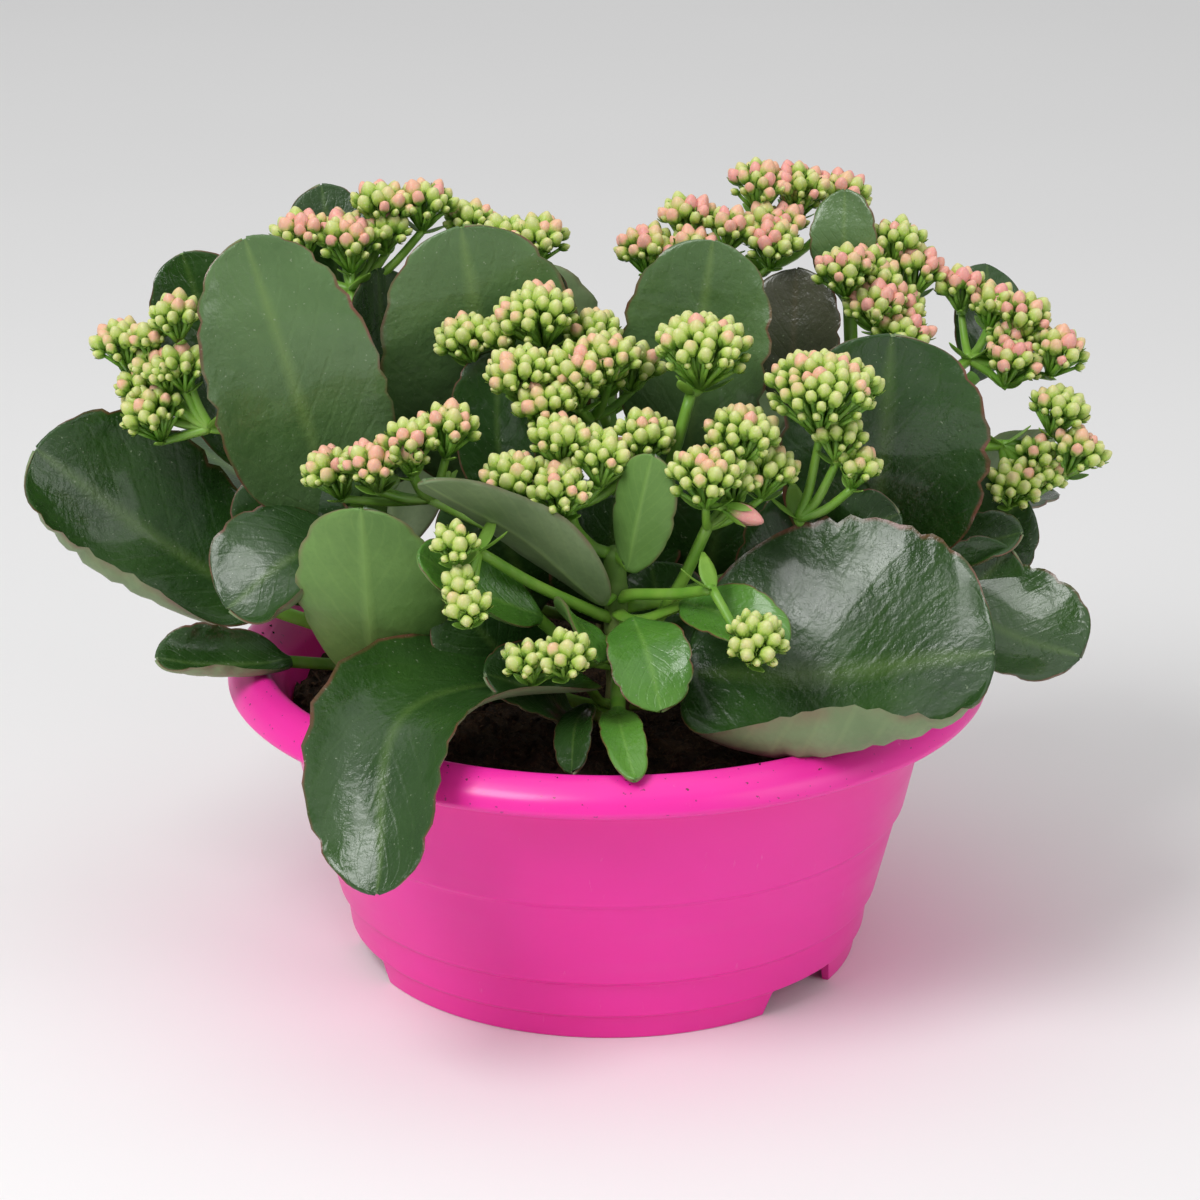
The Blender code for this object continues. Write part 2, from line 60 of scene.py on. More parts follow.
# ---------------------------------------------------------------- bowl and soil
SOIL_LEVEL = 88.0
RIM_TOP = 104.0
FLOOR_TOP = 12.4
FLOOR_UNDER = 10.0
SKIRT_INSIDE = 80.6
HUB_RADIUS = 15.0
NOTCH_MIDDLES = (49.0, 169.0, -71.0)
NOTCH_HALF_ANGLE = 11.0
NOTCH_TOP = 8.6
DRAIN_RADIUS = 3.5
DRAIN_CIRCLE = 52.0
# outline of the bowl's outside and inside: radius, height and the rounding of that corner
OUTSIDE = [
    (83.0, 0.0, 0.7),
    (84.4, 8.1, 0.9),
    (86.2, 9.2, 0.5),
    (87.6, 20.8, 1.4),
    (89.9, 22.3, 0.5),
    (97.2, 51.4, 1.4),
    (98.9, 53.0, 0.5),
    (107.4, 91.0, 1.2),
    (108.8, 93.4, 0.8),
    (123.4, 92.8, 0.9),
    (125.0, 94.6, 1.4),
    (123.4, 99.0, 2.5),
    (119.0, 102.8, 3.0),
    (114.8, RIM_TOP, 1.2),
    (112.4, 103.0, 1.2),
]
INSIDE = [
    (106.2, 93.0, 2.0),
    (96.4, 53.6, 1.0),
    (94.5, 51.4, 1.0),
    (87.4, 23.0, 1.0),
    (84.9, 20.6, 1.0),
    (83.6, FLOOR_TOP, 1.5),
]

# ---------------------------------------------------------------- stems
# foot, bend and top of each plant's main stem, and its radius
STEMS = {
    "left": ((-70, 2, SOIL_LEVEL), (-75, 3, 140), (-78, 8, 186), 3.6),
    "back": ((0, 44, SOIL_LEVEL), (1, 45, 140), (-2, 46, 184), 3.8),
    "right": ((76, 14, SOIL_LEVEL), (80, 17, 140), (84, 22, 184), 3.8),
    "front": ((4, -40, SOIL_LEVEL), (3, -41, 120), (2, -43, 152), 3.8),
}

# ---------------------------------------------------------------- leaves
# root, tip: ends of the blade. face: where its upper side looks. arch: how far the midrib bows
# towards the face, sway: how far it bows to the right. right, left: lift and curl of each half in
# degrees. stem, z: where its stalk meets a stem.
LEAVES = {
    "far_left": dict(root=(-113, 0, 116), tip=(-184, -6, 172), face=(-0.3, -0.6, 0.75), width=68,
                     arch=-6, right=(10, 0), left=(20, 75), stem="left", z=104),
    "low_left": dict(root=(-104, -24, 106), tip=(-144, -38, 112), face=(-0.2, -0.5, 0.85), width=30,
                     arch=-3, right=(45, 0), left=(50, 0), stem="left", z=96),
    "tall_left": dict(root=(-88, -8, 152), tip=(-114, -14, 244), face=(0.1, -0.95, 0.3), width=60,
                      arch=6, belly=0.47, right=(14, 10), left=(14, 10), stem="left", z=140),
    "dark_left": dict(root=(-112, 14, 158), tip=(-138, 24, 229), face=(0.5, -0.85, 0.2), width=44,
                      arch=-4, right=(25, 0), left=(25, 0), stem="left", z=150),
    "mid_left": dict(root=(-72, -38, 101), tip=(-76, -65, 172), face=(0.1, 0.9, 0.35), width=50,
                     arch=-6, right=(14, 0), left=(14, 0), stem="left", z=93),
    "glossy_left": dict(root=(-82, -18, 146), tip=(-120, -43, 131), face=(-0.2, -0.55, 0.8), width=48,
                        arch=6, right=(10, 0), left=(10, 70), stem="left", z=126),
    "left_peak": dict(root=(-88, 56, 200), tip=(-95, 62, 242), face=(0.0, -0.8, 0.5), width=30,
                      arch=4, right=(14, 0), left=(14, 0), stem="left", z=164),
    "centre_left": dict(root=(-34, 26, 148), tip=(-47, 12, 241), face=(0.0, -0.95, 0.3), width=70,
                        arch=6, belly=0.52, right=(14, 0), left=(12, 0), stem="back", z=128),
    "behind_left": dict(root=(-26, 56, 158), tip=(-28, 62, 217), face=(0.0, -0.95, 0.3), width=38,
                        arch=4, right=(14, 0), left=(14, 0), stem="back", z=150),
    "dark_upright": dict(root=(-32, -2, 150), tip=(-35, -6, 205), face=(-0.5, -0.85, 0.1), width=32,
                         arch=3, right=(18, 0), left=(18, 0), stem="back", z=142),
    "centre_right": dict(root=(26, 24, 150), tip=(34, 14, 236), face=(-0.15, -0.95, 0.3), width=54,
                         arch=5, right=(14, 0), left=(18, 0), stem="back", z=136),
    "bronze": dict(root=(62, 50, 170), tip=(63, 56, 215), face=(-0.1, -0.9, 0.4), width=34,
                   arch=3, right=(14, 0), left=(14, 0), stem="right", z=150),
    "great_right": dict(root=(86, -4, 128), tip=(90, -12, 212), face=(0.0, -0.97, 0.25), width=70,
                        arch=5, right=(12, 0), left=(12, 0), stem="right", z=110),
    "top_right": dict(root=(81, 60, 204), tip=(79, 63, 240), face=(-0.3, -0.9, 0.2), width=24,
                      arch=3, right=(14, 0), left=(14, 0), stem="right", z=166),
    "far_peak": dict(root=(126, 66, 176), tip=(129, 86, 208), face=(0.2, -0.7, 0.7), width=26,
                     arch=3, right=(14, 0), left=(14, 0), stem="right", z=158),
    "pale_right": dict(root=(120, 38, 140), tip=(150, 46, 160), face=(0.4, 0.5, 0.7), width=26,
                       arch=3, right=(14, 0), left=(14, 0), stem="right", z=138),
    "upper_right": dict(root=(108, 8, 124), tip=(134, -8, 144), face=(0.2, -0.5, 0.8), width=26,
                        arch=3, right=(20, 0), left=(20, 0), stem="right", z=120),
    "folded_right": dict(root=(107, -12, 124), tip=(150, -42, 114), face=(0.2, -0.6, 0.77), width=50,
                         arch=-3, right=(26, 0), left=(22, 0), stem="right", z=98),
    "scalloped": dict(root=(66, -29, 146), tip=(92, -35, 160), face=(0.1, -0.85, 0.5), width=26,
                      arch=3, right=(14, 0), left=(14, 0), stem="front", z=131),
    "great_front": dict(root=(24, -62, 116), tip=(118, -88, 133), face=(0.05, -0.66, 0.75), width=106,
                        arch=-5, belly=0.5, right=(10, 112), left=(12, 5), stem="front", z=104),
    "arched_front": dict(root=(-8, -52, 112), knee=(-62, -91, 114), tip=(-69, -137, 75),
                         face=(-0.3, -0.3, 0.9), width=60, belly=0.42, right=(16, 24), left=(18, 12),
                         stem="front", z=98),
    "lance_front": dict(root=(-1, -48, 135), tip=(-56, -74, 184), face=(0.5, 0.75, 0.4), width=34,
                        arch=3, right=(20, 0), left=(20, 0), stem="front", z=136),
    "upright_front": dict(root=(7, -52, 148), tip=(14, -58, 187), face=(0.3, 0.9, 0.2), width=23,
                          arch=-2, right=(10, 0), left=(10, 0), stem="front", z=149),
    "nest_left": dict(root=(-22, -58, 134), tip=(-58, -80, 162), face=(0.1, -0.6, 0.75), width=26,
                      arch=-3, right=(30, 0), left=(30, 0), stem="front", z=112),
    "nest_low": dict(root=(-14, -60, 137), tip=(-3, -82, 128), face=(0.0, -0.5, 0.85), width=22,
                     arch=4, right=(14, 0), left=(14, 0), stem="front", z=120),
    "bright_front": dict(root=(8, -62, 134), tip=(16, -92, 116), face=(0.1, -0.7, 0.7), width=27,
                         arch=5, right=(14, 0), left=(14, 0), stem="front", z=130),
    "rim_tongue": dict(root=(3, -68, 106), knee=(4, -97, 111), tip=(8, -121, 105), face=(0, -0.4, 0.9),
                       width=14, right=(14, 0), left=(14, 0), stem="front", z=108),
    "rim_dark": dict(root=(-7, -66, 107), tip=(-11, -101, 99), face=(-0.3, -0.5, 0.8), width=13,
                     arch=4, right=(14, 0), left=(14, 0), stem="front", z=93),
    "bright_right": dict(root=(24, -60, 139), tip=(54, -88, 135), face=(0.0, -0.5, 0.85), width=24,
                         arch=3, right=(20, 0), left=(20, 0), stem="front", z=127),
    "back_left": dict(root=(-30, 66, 120), tip=(-96, 110, 150), face=(-0.3, 0.3, 0.9), width=62,
                      arch=6, right=(14, 0), left=(14, 0), stem="back", z=104),
    "back_right": dict(root=(30, 68, 118), tip=(92, 112, 146), face=(0.3, 0.3, 0.9), width=64,
                       arch=6, right=(14, 0), left=(14, 0), stem="back", z=98),
    "back_middle": dict(root=(0, 76, 112), tip=(4, 148, 104), face=(0.0, 0.3, 0.95), width=56,
                        arch=12, right=(14, 0), left=(14, 0), stem="back", z=92),
    "back_upright": dict(root=(-12, 72, 140), tip=(-30, 96, 206), face=(0.0, 0.9, 0.3), width=48,
                         arch=5, right=(14, 0), left=(14, 0), stem="back", z=118),
    "back_far_left": dict(root=(-96, 30, 124), tip=(-150, 78, 150), face=(-0.3, 0.2, 0.9), width=52,
                          arch=5, right=(14, 0), left=(14, 0), stem="left", z=118),
    "back_far_right": dict(root=(96, 40, 116), tip=(150, 78, 132), face=(0.3, 0.2, 0.9), width=52,
                           arch=6, right=(14, 0), left=(14, 0), stem="right", z=104),
}

# ---------------------------------------------------------------- flower heads
# stem, z: where the branch leaves. fork: where it divides. umbels: x, y, z of the middle and radius.
HEADS = {
    "outer_left": dict(stem="left", z=170, fork=(-128, -2, 178), umbels=[
        (-157, 10, 204, 8), (-138, 0, 216, 7), (-137, -2, 200, 7), (-147, -4, 185, 9)]),
    "high_left": dict(stem="left", z=180, fork=(-84, 34, 214), umbels=[
        (-101, 38, 233, 8), (-84, 36, 231, 9), (-73, 44, 241, 9), (-59, 44, 242, 8)]),
    "high_middle": dict(stem="back", z=176, fork=(-36, 46, 214), umbels=[
        (-46, 48, 235, 6), (-35, 45, 230, 8), (-22, 44, 230, 8)]),
    "near_left": dict(stem="front", z=142, fork=(-56, -38, 166), umbels=[
        (-87, -37, 176, 8), (-74, -46, 181, 8), (-62, -45, 188, 8), (-50, -43, 192, 8)]),
    "middle_back": dict(stem="back", z=166, fork=(-3, 2, 196), umbels=[
        (-46, -4, 210, 8), (-23, -5, 218, 11), (-5, 2, 210, 8)]),
    "middle": dict(stem="back", z=158, fork=(-5, -10, 184), umbels=[
        (-28, -26, 205, 9), (-20, -32, 196, 8), (-10, -24, 206, 9), (1, -21, 209, 8), (9, -8, 202, 7)]),
    "tall_stalk": dict(stem="front", z=148, fork=(26, -30, 198), umbels=[(30, -28, 214, 13)]),
    "middle_front": dict(stem="front", z=150, fork=(-12, -47, 166), umbels=[
        (-30, -50, 178, 9), (-15, -44, 189, 8), (-15, -58, 176, 8), (-1, -48, 184, 8), (12, -41, 189, 8)]),
    "front_right": dict(stem="front", z=117, fork=(31, -53, 162), umbels=[
        (30, -62, 183, 10), (42, -48, 192, 10), (50, -47, 180, 8)]),
    "forked_stalk": dict(stem="right", z=118, fork=(60, -39, 160), umbels=[
        (67, -40, 204, 15), (78, -44, 180, 6)]),
    "back_crown": dict(stem="back", z=181, fork=(24, 58, 204), umbels=[
        (12, 62, 222, 8), (27, 68, 231, 8), (29, 56, 223, 7), (41, 60, 229, 7)]),
    "top_crown": dict(stem="back", z=169, fork=(50, 70, 210), umbels=[
        (51, 75, 240, 9), (65, 77, 239, 9), (79, 80, 236, 8), (55, 57, 225, 8)]),
    "right_crown": dict(stem="right", z=180, fork=(92, 44, 200), umbels=[
        (77, 41, 220, 8), (88, 40, 208, 8), (98, 38, 199, 8), (96, 60, 225, 8), (103, 57, 216, 8)]),
    "right_edge": dict(stem="right", z=170, fork=(120, 42, 188), umbels=[
        (118, 56, 210, 7), (128, 52, 206, 7), (138, 46, 203, 8), (135, 36, 190, 8), (150, 38, 193, 8)]),
    "right_low": dict(stem="right", z=160, fork=(130, 24, 164), umbels=[
        (149, 26, 177, 8), (155, 20, 164, 8), (134, 15, 154, 8)]),
    "nest_right": dict(stem="front", z=135, fork=(32, -77, 150), umbels=[(45, -98, 142, 8)]),
    "nest_front": dict(stem="front", z=114, fork=(-14, -80, 126), umbels=[
        (-25, -93, 133, 6), (-13, -95, 136, 7)]),
    "nest_left": dict(stem="front", z=128, fork=(-40, -70, 160), umbels=[
        (-47, -84, 168, 6), (-43, -91, 150, 6)]),
}


# small leaves deep in the crown, without a solid of their own
INNER_LEAVES = {
    "gap_left": dict(root=(-71, 40, 147), tip=(-76, 36, 220), face=(0.1, -0.9, 0.4), width=44,
                     arch=4, right=(14, 0), left=(14, 0), stem="left", z=150),
    "middle_a": dict(root=(-24, 8, 112), tip=(-40, 0, 162), face=(-0.2, -0.8, 0.5), width=50,
                     arch=4, right=(14, 0), left=(18, 0), stem="back", z=98),
    "middle_b": dict(root=(0, 18, 104), tip=(2, 6, 152), face=(0.1, -0.8, 0.5), width=46,
                     arch=4, right=(14, 0), left=(14, 0), stem="back", z=94),
    "middle_c": dict(root=(30, 14, 108), tip=(38, 4, 162), face=(0.2, -0.8, 0.5), width=48,
                     arch=4, right=(18, 0), left=(14, 0), stem="back", z=102),
    "middle_d": dict(root=(58, 4, 106), tip=(66, -6, 158), face=(0.0, -0.85, 0.5), width=44,
                     arch=4, right=(14, 0), left=(14, 0), stem="right", z=96),
    "right_a": dict(root=(102, 26, 114), tip=(138, 20, 146), face=(0.2, -0.7, 0.6), width=46,
                    arch=4, right=(20, 0), left=(14, 0), stem="right", z=106),
    "right_b": dict(root=(104, 0, 106), tip=(130, -12, 140), face=(0.3, -0.75, 0.5), width=38,
                    arch=3, right=(20, 0), left=(20, 0), stem="right", z=100),
    "left_a": dict(root=(-92, -2, 118), tip=(-108, -8, 168), face=(-0.2, -0.85, 0.4), width=42,
                   arch=4, right=(14, 0), left=(18, 0), stem="left", z=112),
    "front_a": dict(root=(-12, -58, 101), tip=(-38, -78, 122), face=(-0.2, -0.6, 0.8), width=30,
                    arch=3, right=(20, 0), left=(20, 0), stem="front", z=96),
    "front_b": dict(root=(20, -46, 102), tip=(14, -26, 140), face=(0.2, -0.8, 0.5), width=36,
                    arch=3, right=(14, 0), left=(14, 0), stem="front", z=98),
    "front_c": dict(root=(-24, -44, 104), tip=(-50, -50, 138), face=(-0.2, -0.8, 0.6), width=36,
                    arch=3, right=(14, 0), left=(14, 0), stem="front", z=96),
    "back_a": dict(root=(36, 62, 140), tip=(52, 84, 192), face=(0.1, 0.9, 0.4), width=46,
                   arch=4, right=(14, 0), left=(14, 0), stem="back", z=126),
    "back_b": dict(root=(80, 48, 132), tip=(98, 72, 184), face=(0.3, 0.85, 0.4), width=46,
                   arch=4, right=(14, 0), left=(14, 0), stem="right", z=120),
    "back_c": dict(root=(-70, 40, 122), tip=(-84, 70, 176), face=(-0.1, 0.9, 0.4), width=46,
                   arch=4, right=(14, 0), left=(14, 0), stem="left", z=112),
}
# open buds: the flower head that each is on, its joint, foot and direction
OPEN_BUDS = {
    "front_right": ((29, -57, 171), (37, -61, 171), (1.0, -0.25, -0.35)),
}

# looks of each leaf's upper side and underside, where they aren't dark and pale
LOOKS = {
    "tall_left": ("mid", "green"),
    "centre_left": ("mid", "green"),
    "centre_right": ("mid", "pale"),
    "pale_right": ("mid", "pale"),
    "top_right": ("mid", "pale"),
    "mid_left": ("dark", "green"),
    "lance_front": ("mid", "pale"),
    "upright_front": ("dark", "green"),
    "bronze": ("bronze", "dusky"),
    "folded_right": ("dark", "dusky"),
    "nest_left": ("fresh", "green"),
    "nest_low": ("fresh", "green"),
    "bright_front": ("fresh", "green"),
    "bright_right": ("fresh", "green"),
    "rim_tongue": ("fresh", "green"),
    "dark_left": ("dark", "green"),
}

# how pink the buds of a flower head are, where it isn't 0.45
RIPENESS = {
    "high_left": 0.7,
    "high_middle": 0.6,
    "outer_left": 0.55,
    "near_left": 0.6,
    "back_crown": 0.75,
    "top_crown": 0.8,
    "right_crown": 0.7,
    "right_edge": 0.75,
    "right_low": 0.5,
    "nest_left": 0.25,
    "nest_front": 0.3,
    "nest_right": 0.2,
}

# ---------------------------------------------------------------- node helpers
def material(name, **sockets):
    """A material with a Principled shader, whose constant sockets are set directly."""
    mat = bpy.data.materials.new(name)
    mat.use_nodes = True
    shader = mat.node_tree.nodes["Principled BSDF"]
    for key, value in sockets.items():
        shader.inputs[key.replace("_", " ")].default_value = value
    return mat, mat.node_tree, shader


def node(tree, kind, **props):
    made = tree.nodes.new(kind)
    for key, value in props.items():
        setattr(made, key, value)
    return made


def noise(tree, where, scale, detail=3.0, rough=0.5, stretch=None):
    made = node(tree, "ShaderNodeTexNoise")
    made.inputs["Scale"].default_value = scale
    made.inputs["Detail"].default_value = detail
    made.inputs["Roughness"].default_value = rough
    if stretch:
        scaled = node(tree, "ShaderNodeMapping")
        scaled.inputs["Scale"].default_value = stretch
        tree.links.new(where, scaled.inputs["Vector"])
        where = scaled.outputs["Vector"]
    tree.links.new(where, made.inputs["Vector"])
    return made.outputs["Fac"]


def ramp(tree, fac, stops):
    made = node(tree, "ShaderNodeValToRGB")
    elements = made.color_ramp.elements
    while len(elements) < len(stops):
        elements.new(0.5)
    for element, (place, colour) in zip(elements, stops):
        element.position = place
        element.color = (*colour, 1) if len(colour) == 3 else colour
    tree.links.new(fac, made.inputs["Fac"])
    return made.outputs["Color"]


def grey(tree, fac, low, high, start=0.0, end=1.0):
    """fac mapped from start..end to low..high."""
    made = node(tree, "ShaderNodeMapRange")
    made.inputs["From Min"].default_value = start
    made.inputs["From Max"].default_value = end
    made.inputs["To Min"].default_value = low
    made.inputs["To Max"].default_value = high
    tree.links.new(fac, made.inputs["Value"])
    return made.outputs["Result"]


def math(tree, operation, a, b=None):
    made = node(tree, "ShaderNodeMath", operation=operation)
    for socket, value in zip(made.inputs, (a, b)):
        if value is None:
            continue
        if isinstance(value, (int, float)):
            socket.default_value = value
        else:
            tree.links.new(value, socket)
    return made.outputs["Value"]


def mix(tree, fac, a, b, blend="MIX"):
    made = node(tree, "ShaderNodeMix", data_type="RGBA", blend_type=blend)
    for socket, value in ((made.inputs["Factor"], fac), (made.inputs["A"], a), (made.inputs["B"], b)):
        if socket.name == "Factor" and isinstance(value, (int, float)):
            socket.default_value = value
        elif isinstance(value, tuple):
            socket.default_value = (*value, 1)
        else:
            tree.links.new(value, socket)
    return made.outputs["Result"]


def bump(tree, shader, height, strength, distance):
    made = node(tree, "ShaderNodeBump")
    made.inputs["Strength"].default_value = strength
    made.inputs["Distance"].default_value = distance
    tree.links.new(height, made.inputs["Height"])
    tree.links.new(made.outputs["Normal"], shader.inputs["Normal"])


def place(tree):
    return node(tree, "ShaderNodeTexCoord").outputs["Object"]


def uv_parts(tree):
    split = node(tree, "ShaderNodeSeparateXYZ")
    tree.links.new(node(tree, "ShaderNodeTexCoord").outputs["UV"], split.inputs["Vector"])
    return split.outputs["X"], split.outputs["Y"]


# ---------------------------------------------------------------- materials
def veins(tree):
    """Height and mask of the midrib and of the side veins, from a leaf's own coordinates."""
    along, across = uv_parts(tree)
    side = math(tree, "ABSOLUTE", math(tree, "SUBTRACT", across, 0.5))
    wobble = grey(tree, noise(tree, place(tree), 60.0), -0.02, 0.02)
    side = math(tree, "ADD", side, wobble)
    rib = grey(tree, side, 1.0, 0.0, 0.0, 0.055)
    phase = math(tree, "SUBTRACT", math(tree, "MULTIPLY", along, 9.0), math(tree, "MULTIPLY", side, 7.0))
    wave = math(tree, "SINE", math(tree, "MULTIPLY", phase, 6.2832))
    lateral = grey(tree, wave, 0.0, 1.0, 0.72, 1.0)
    return along, side, rib, lateral


def leaf_top(name, dark, light, rib_colour, rough, margin=(0.16, 0.06, 0.035)):
    mat, tree, shader = material(name, Specular_IOR_Level=0.45, Coat_Weight=0.3, Coat_Roughness=0.1)
    where = place(tree)
    along, side, rib, lateral = veins(tree)
    broad = noise(tree, where, 28.0, 3.0)
    fine = noise(tree, where, 260.0, 4.0, 0.6)
    colour = ramp(tree, broad, [(0.3, dark), (0.7, light)])
    colour = mix(tree, grey(tree, fine, 0.0, 0.35, 0.35, 0.75), colour, light)
    colour = mix(tree, math(tree, "MULTIPLY", lateral, 0.03), colour, rib_colour)
    colour = mix(tree, math(tree, "MULTIPLY", rib, 0.42), colour, rib_colour)
    edge = grey(tree, side, 0.0, 1.0, 0.478, 0.492)
    edge = math(tree, "MULTIPLY", edge, grey(tree, noise(tree, where, 90.0), 0.25, 1.0, 0.35, 0.6))
    colour = mix(tree, edge, colour, margin)
    specks = grey(tree, noise(tree, where, 900.0, 1.0), 0.0, 0.5, 0.72, 0.78)
    colour = mix(tree, specks, colour, (0.3, 0.36, 0.24))
    tree.links.new(colour, shader.inputs["Base Color"])
    patches = noise(tree, where, 45.0, 4.0, 0.65)
    tree.links.new(grey(tree, patches, rough - 0.12, rough + 0.14, 0.3, 0.7), shader.inputs["Roughness"])
    pebble = noise(tree, where, 420.0, 3.0, 0.6)
    puckers = noise(tree, where, 70.0, 2.0)
    height = math(tree, "ADD", math(tree, "MULTIPLY", pebble, 0.35), puckers)
    height = math(tree, "SUBTRACT", height, math(tree, "MULTIPLY", lateral, 0.06))
    bump(tree, shader, height, 0.5, 0.0022)
    return mat


def leaf_under(name, dark, light, rib_colour, margin=(0.2, 0.11, 0.08)):
    mat, tree, shader = material(name, Specular_IOR_Level=0.4, Roughness=0.5)
    where = place(tree)
    along, side, rib, lateral = veins(tree)
    colour = ramp(tree, noise(tree, where, 35.0, 4.0, 0.6), [(0.3, dark), (0.7, light)])
    fine = noise(tree, where, 700.0, 2.0)
    colour = mix(tree, grey(tree, fine, 0.0, 0.3, 0.45, 0.75), colour, dark)
    colour = mix(tree, math(tree, "MULTIPLY", lateral, 0.12), colour, rib_colour)
    colour = mix(tree, math(tree, "MULTIPLY", rib, 0.6), colour, rib_colour)
    edge = grey(tree, side, 0.0, 0.85, 0.45, 0.495)
    edge = math(tree, "MULTIPLY", edge, grey(tree, noise(tree, where, 70.0), 0.1, 1.0, 0.35, 0.65))
    colour = mix(tree, edge, colour, margin)
    tree.links.new(colour, shader.inputs["Base Color"])
    tree.links.new(grey(tree, noise(tree, where, 60.0), 0.4, 0.62), shader.inputs["Roughness"])
    height = math(tree, "ADD", noise(tree, where, 350.0, 3.0), math(tree, "MULTIPLY", rib, 0.8))
    bump(tree, shader, height, 0.25, 0.0008)
    return mat


TOPS = {
    "dark": leaf_top("leaf_dark", (0.012, 0.045, 0.007), (0.03, 0.085, 0.014), (0.11, 0.2, 0.04), 0.3),
    "mid": leaf_top("leaf_mid", (0.06, 0.13, 0.035), (0.11, 0.2, 0.07), (0.19, 0.3, 0.08), 0.36),
    "fresh": leaf_top("leaf_fresh", (0.05, 0.17, 0.02), (0.11, 0.28, 0.035), (0.2, 0.4, 0.07), 0.3),
    "bronze": leaf_top("leaf_bronze", (0.05, 0.06, 0.032), (0.085, 0.085, 0.055), (0.12, 0.1, 0.06), 0.26),
}
UNDERS = {
    "pale": leaf_under("under_pale", (0.15, 0.22, 0.1), (0.24, 0.32, 0.16), (0.3, 0.4, 0.17)),
    "green": leaf_under("under_green", (0.1, 0.21, 0.045), (0.16, 0.3, 0.07), (0.22, 0.38, 0.09)),
    "dusky": leaf_under("under_dusky", (0.1, 0.13, 0.07), (0.17, 0.2, 0.12), (0.2, 0.24, 0.12)),
}


def stalk_material():
    mat, tree, shader = material("stalk", Specular_IOR_Level=0.45, Roughness=0.4)
    shader.inputs["Subsurface Weight"].default_value = 0.12
    shader.inputs["Subsurface Radius"].default_value = (0.3, 0.6, 0.1)
    shader.inputs["Subsurface Scale"].default_value = 0.002
    where = place(tree)
    colour = ramp(tree, noise(tree, where, 70.0, 4.0), [(0.3, (0.13, 0.32, 0.03)), (0.72, (0.26, 0.48, 0.06))])
    streaks = noise(tree, where, 160.0, 3.0, 0.6, (1.0, 1.0, 0.12))
    colour = mix(tree, grey(tree, streaks, 0.0, 0.45, 0.5, 0.8), colour, (0.3, 0.42, 0.14))
    tree.links.new(colour, shader.inputs["Base Color"])
    tree.links.new(grey(tree, noise(tree, where, 90.0), 0.32, 0.52), shader.inputs["Roughness"])
    bump(tree, shader, streaks, 0.25, 0.0006)
    return mat


def woody_material():
    mat, tree, shader = material("main_stem", Specular_IOR_Level=0.35, Roughness=0.6)
    where = place(tree)
    low = grey(tree, height_of(tree), 0.0, 1.0, 0.09, 0.15)
    bark = ramp(tree, noise(tree, where, 180.0, 4.0), [(0.3, (0.1, 0.075, 0.03)), (0.7, (0.2, 0.17, 0.07))])
    green = ramp(tree, noise(tree, where, 90.0, 4.0), [(0.3, (0.09, 0.2, 0.03)), (0.7, (0.17, 0.32, 0.06))])
    tree.links.new(mix(tree, low, bark, green), shader.inputs["Base Color"])
    bump(tree, shader, noise(tree, where, 220.0, 4.0, 0.6, (1.0, 1.0, 0.3)), 0.4, 0.001)
    return mat


def height_of(tree):
    split = node(tree, "ShaderNodeSeparateXYZ")
    tree.links.new(place(tree), split.inputs["Vector"])
    return split.outputs["Z"]


def bud_material():
    """Green at the base, yellow-green above, and pink at the tip of the riper ones."""
    mat, tree, shader = material("bud", Specular_IOR_Level=0.45, Roughness=0.38)
    shader.inputs["Subsurface Weight"].default_value = 0.2
    shader.inputs["Subsurface Radius"].default_value = (0.6, 0.4, 0.15)
    shader.inputs["Subsurface Scale"].default_value = 0.0015
    ripe, along = uv_parts(tree)
    where = place(tree)
    wobble = grey(tree, noise(tree, where, 500.0, 3.0), -0.12, 0.12)
    along = math(tree, "ADD", along, wobble)
    green = ramp(tree, along, [(0.1, (0.17, 0.37, 0.03)), (0.6, (0.44, 0.6, 0.1)), (0.97, (0.68, 0.7, 0.3))])
    pink = ramp(tree, ripe, [(0.4, (0.76, 0.62, 0.3)), (0.65, (0.88, 0.5, 0.34)), (1.0, (0.87, 0.38, 0.35))])
    reach = math(tree, "SUBTRACT", along, grey(tree, ripe, 0.75, 0.1, 0.3, 1.0))
    tip = math(tree, "MULTIPLY", grey(tree, reach, 0.0, 1.0, 0.0, 0.35), grey(tree, ripe, 0.0, 1.0, 0.3, 0.6))
    colour = mix(tree, tip, green, pink)
    spots = grey(tree, noise(tree, where, 1600.0, 2.0), 0.0, 0.4, 0.55, 0.75)
    colour = mix(tree, spots, colour, (0.82, 0.8, 0.55))
    tree.links.new(colour, shader.inputs["Base Color"])
    tree.links.new(grey(tree, noise(tree, where, 700.0), 0.3, 0.5), shader.inputs["Roughness"])
    bump(tree, shader, noise(tree, where, 1200.0, 3.0), 0.2, 0.0005)
    return mat


def sepal_material():
    mat, tree, shader = material("sepal", Specular_IOR_Level=0.4, Roughness=0.45)
    where = place(tree)
    ripe, along = uv_parts(tree)
    colour = ramp(tree, along, [(0.0, (0.12, 0.3, 0.03)), (0.7, (0.24, 0.43, 0.06)), (1.0, (0.4, 0.5, 0.13))])
    colour = mix(tree, grey(tree, noise(tree, where, 300.0), 0.0, 0.5, 0.4, 0.8), colour, (0.14, 0.3, 0.03))
    tree.links.new(colour, shader.inputs["Base Color"])
    bump(tree, shader, noise(tree, where, 900.0, 3.0), 0.2, 0.0005)
    return mat


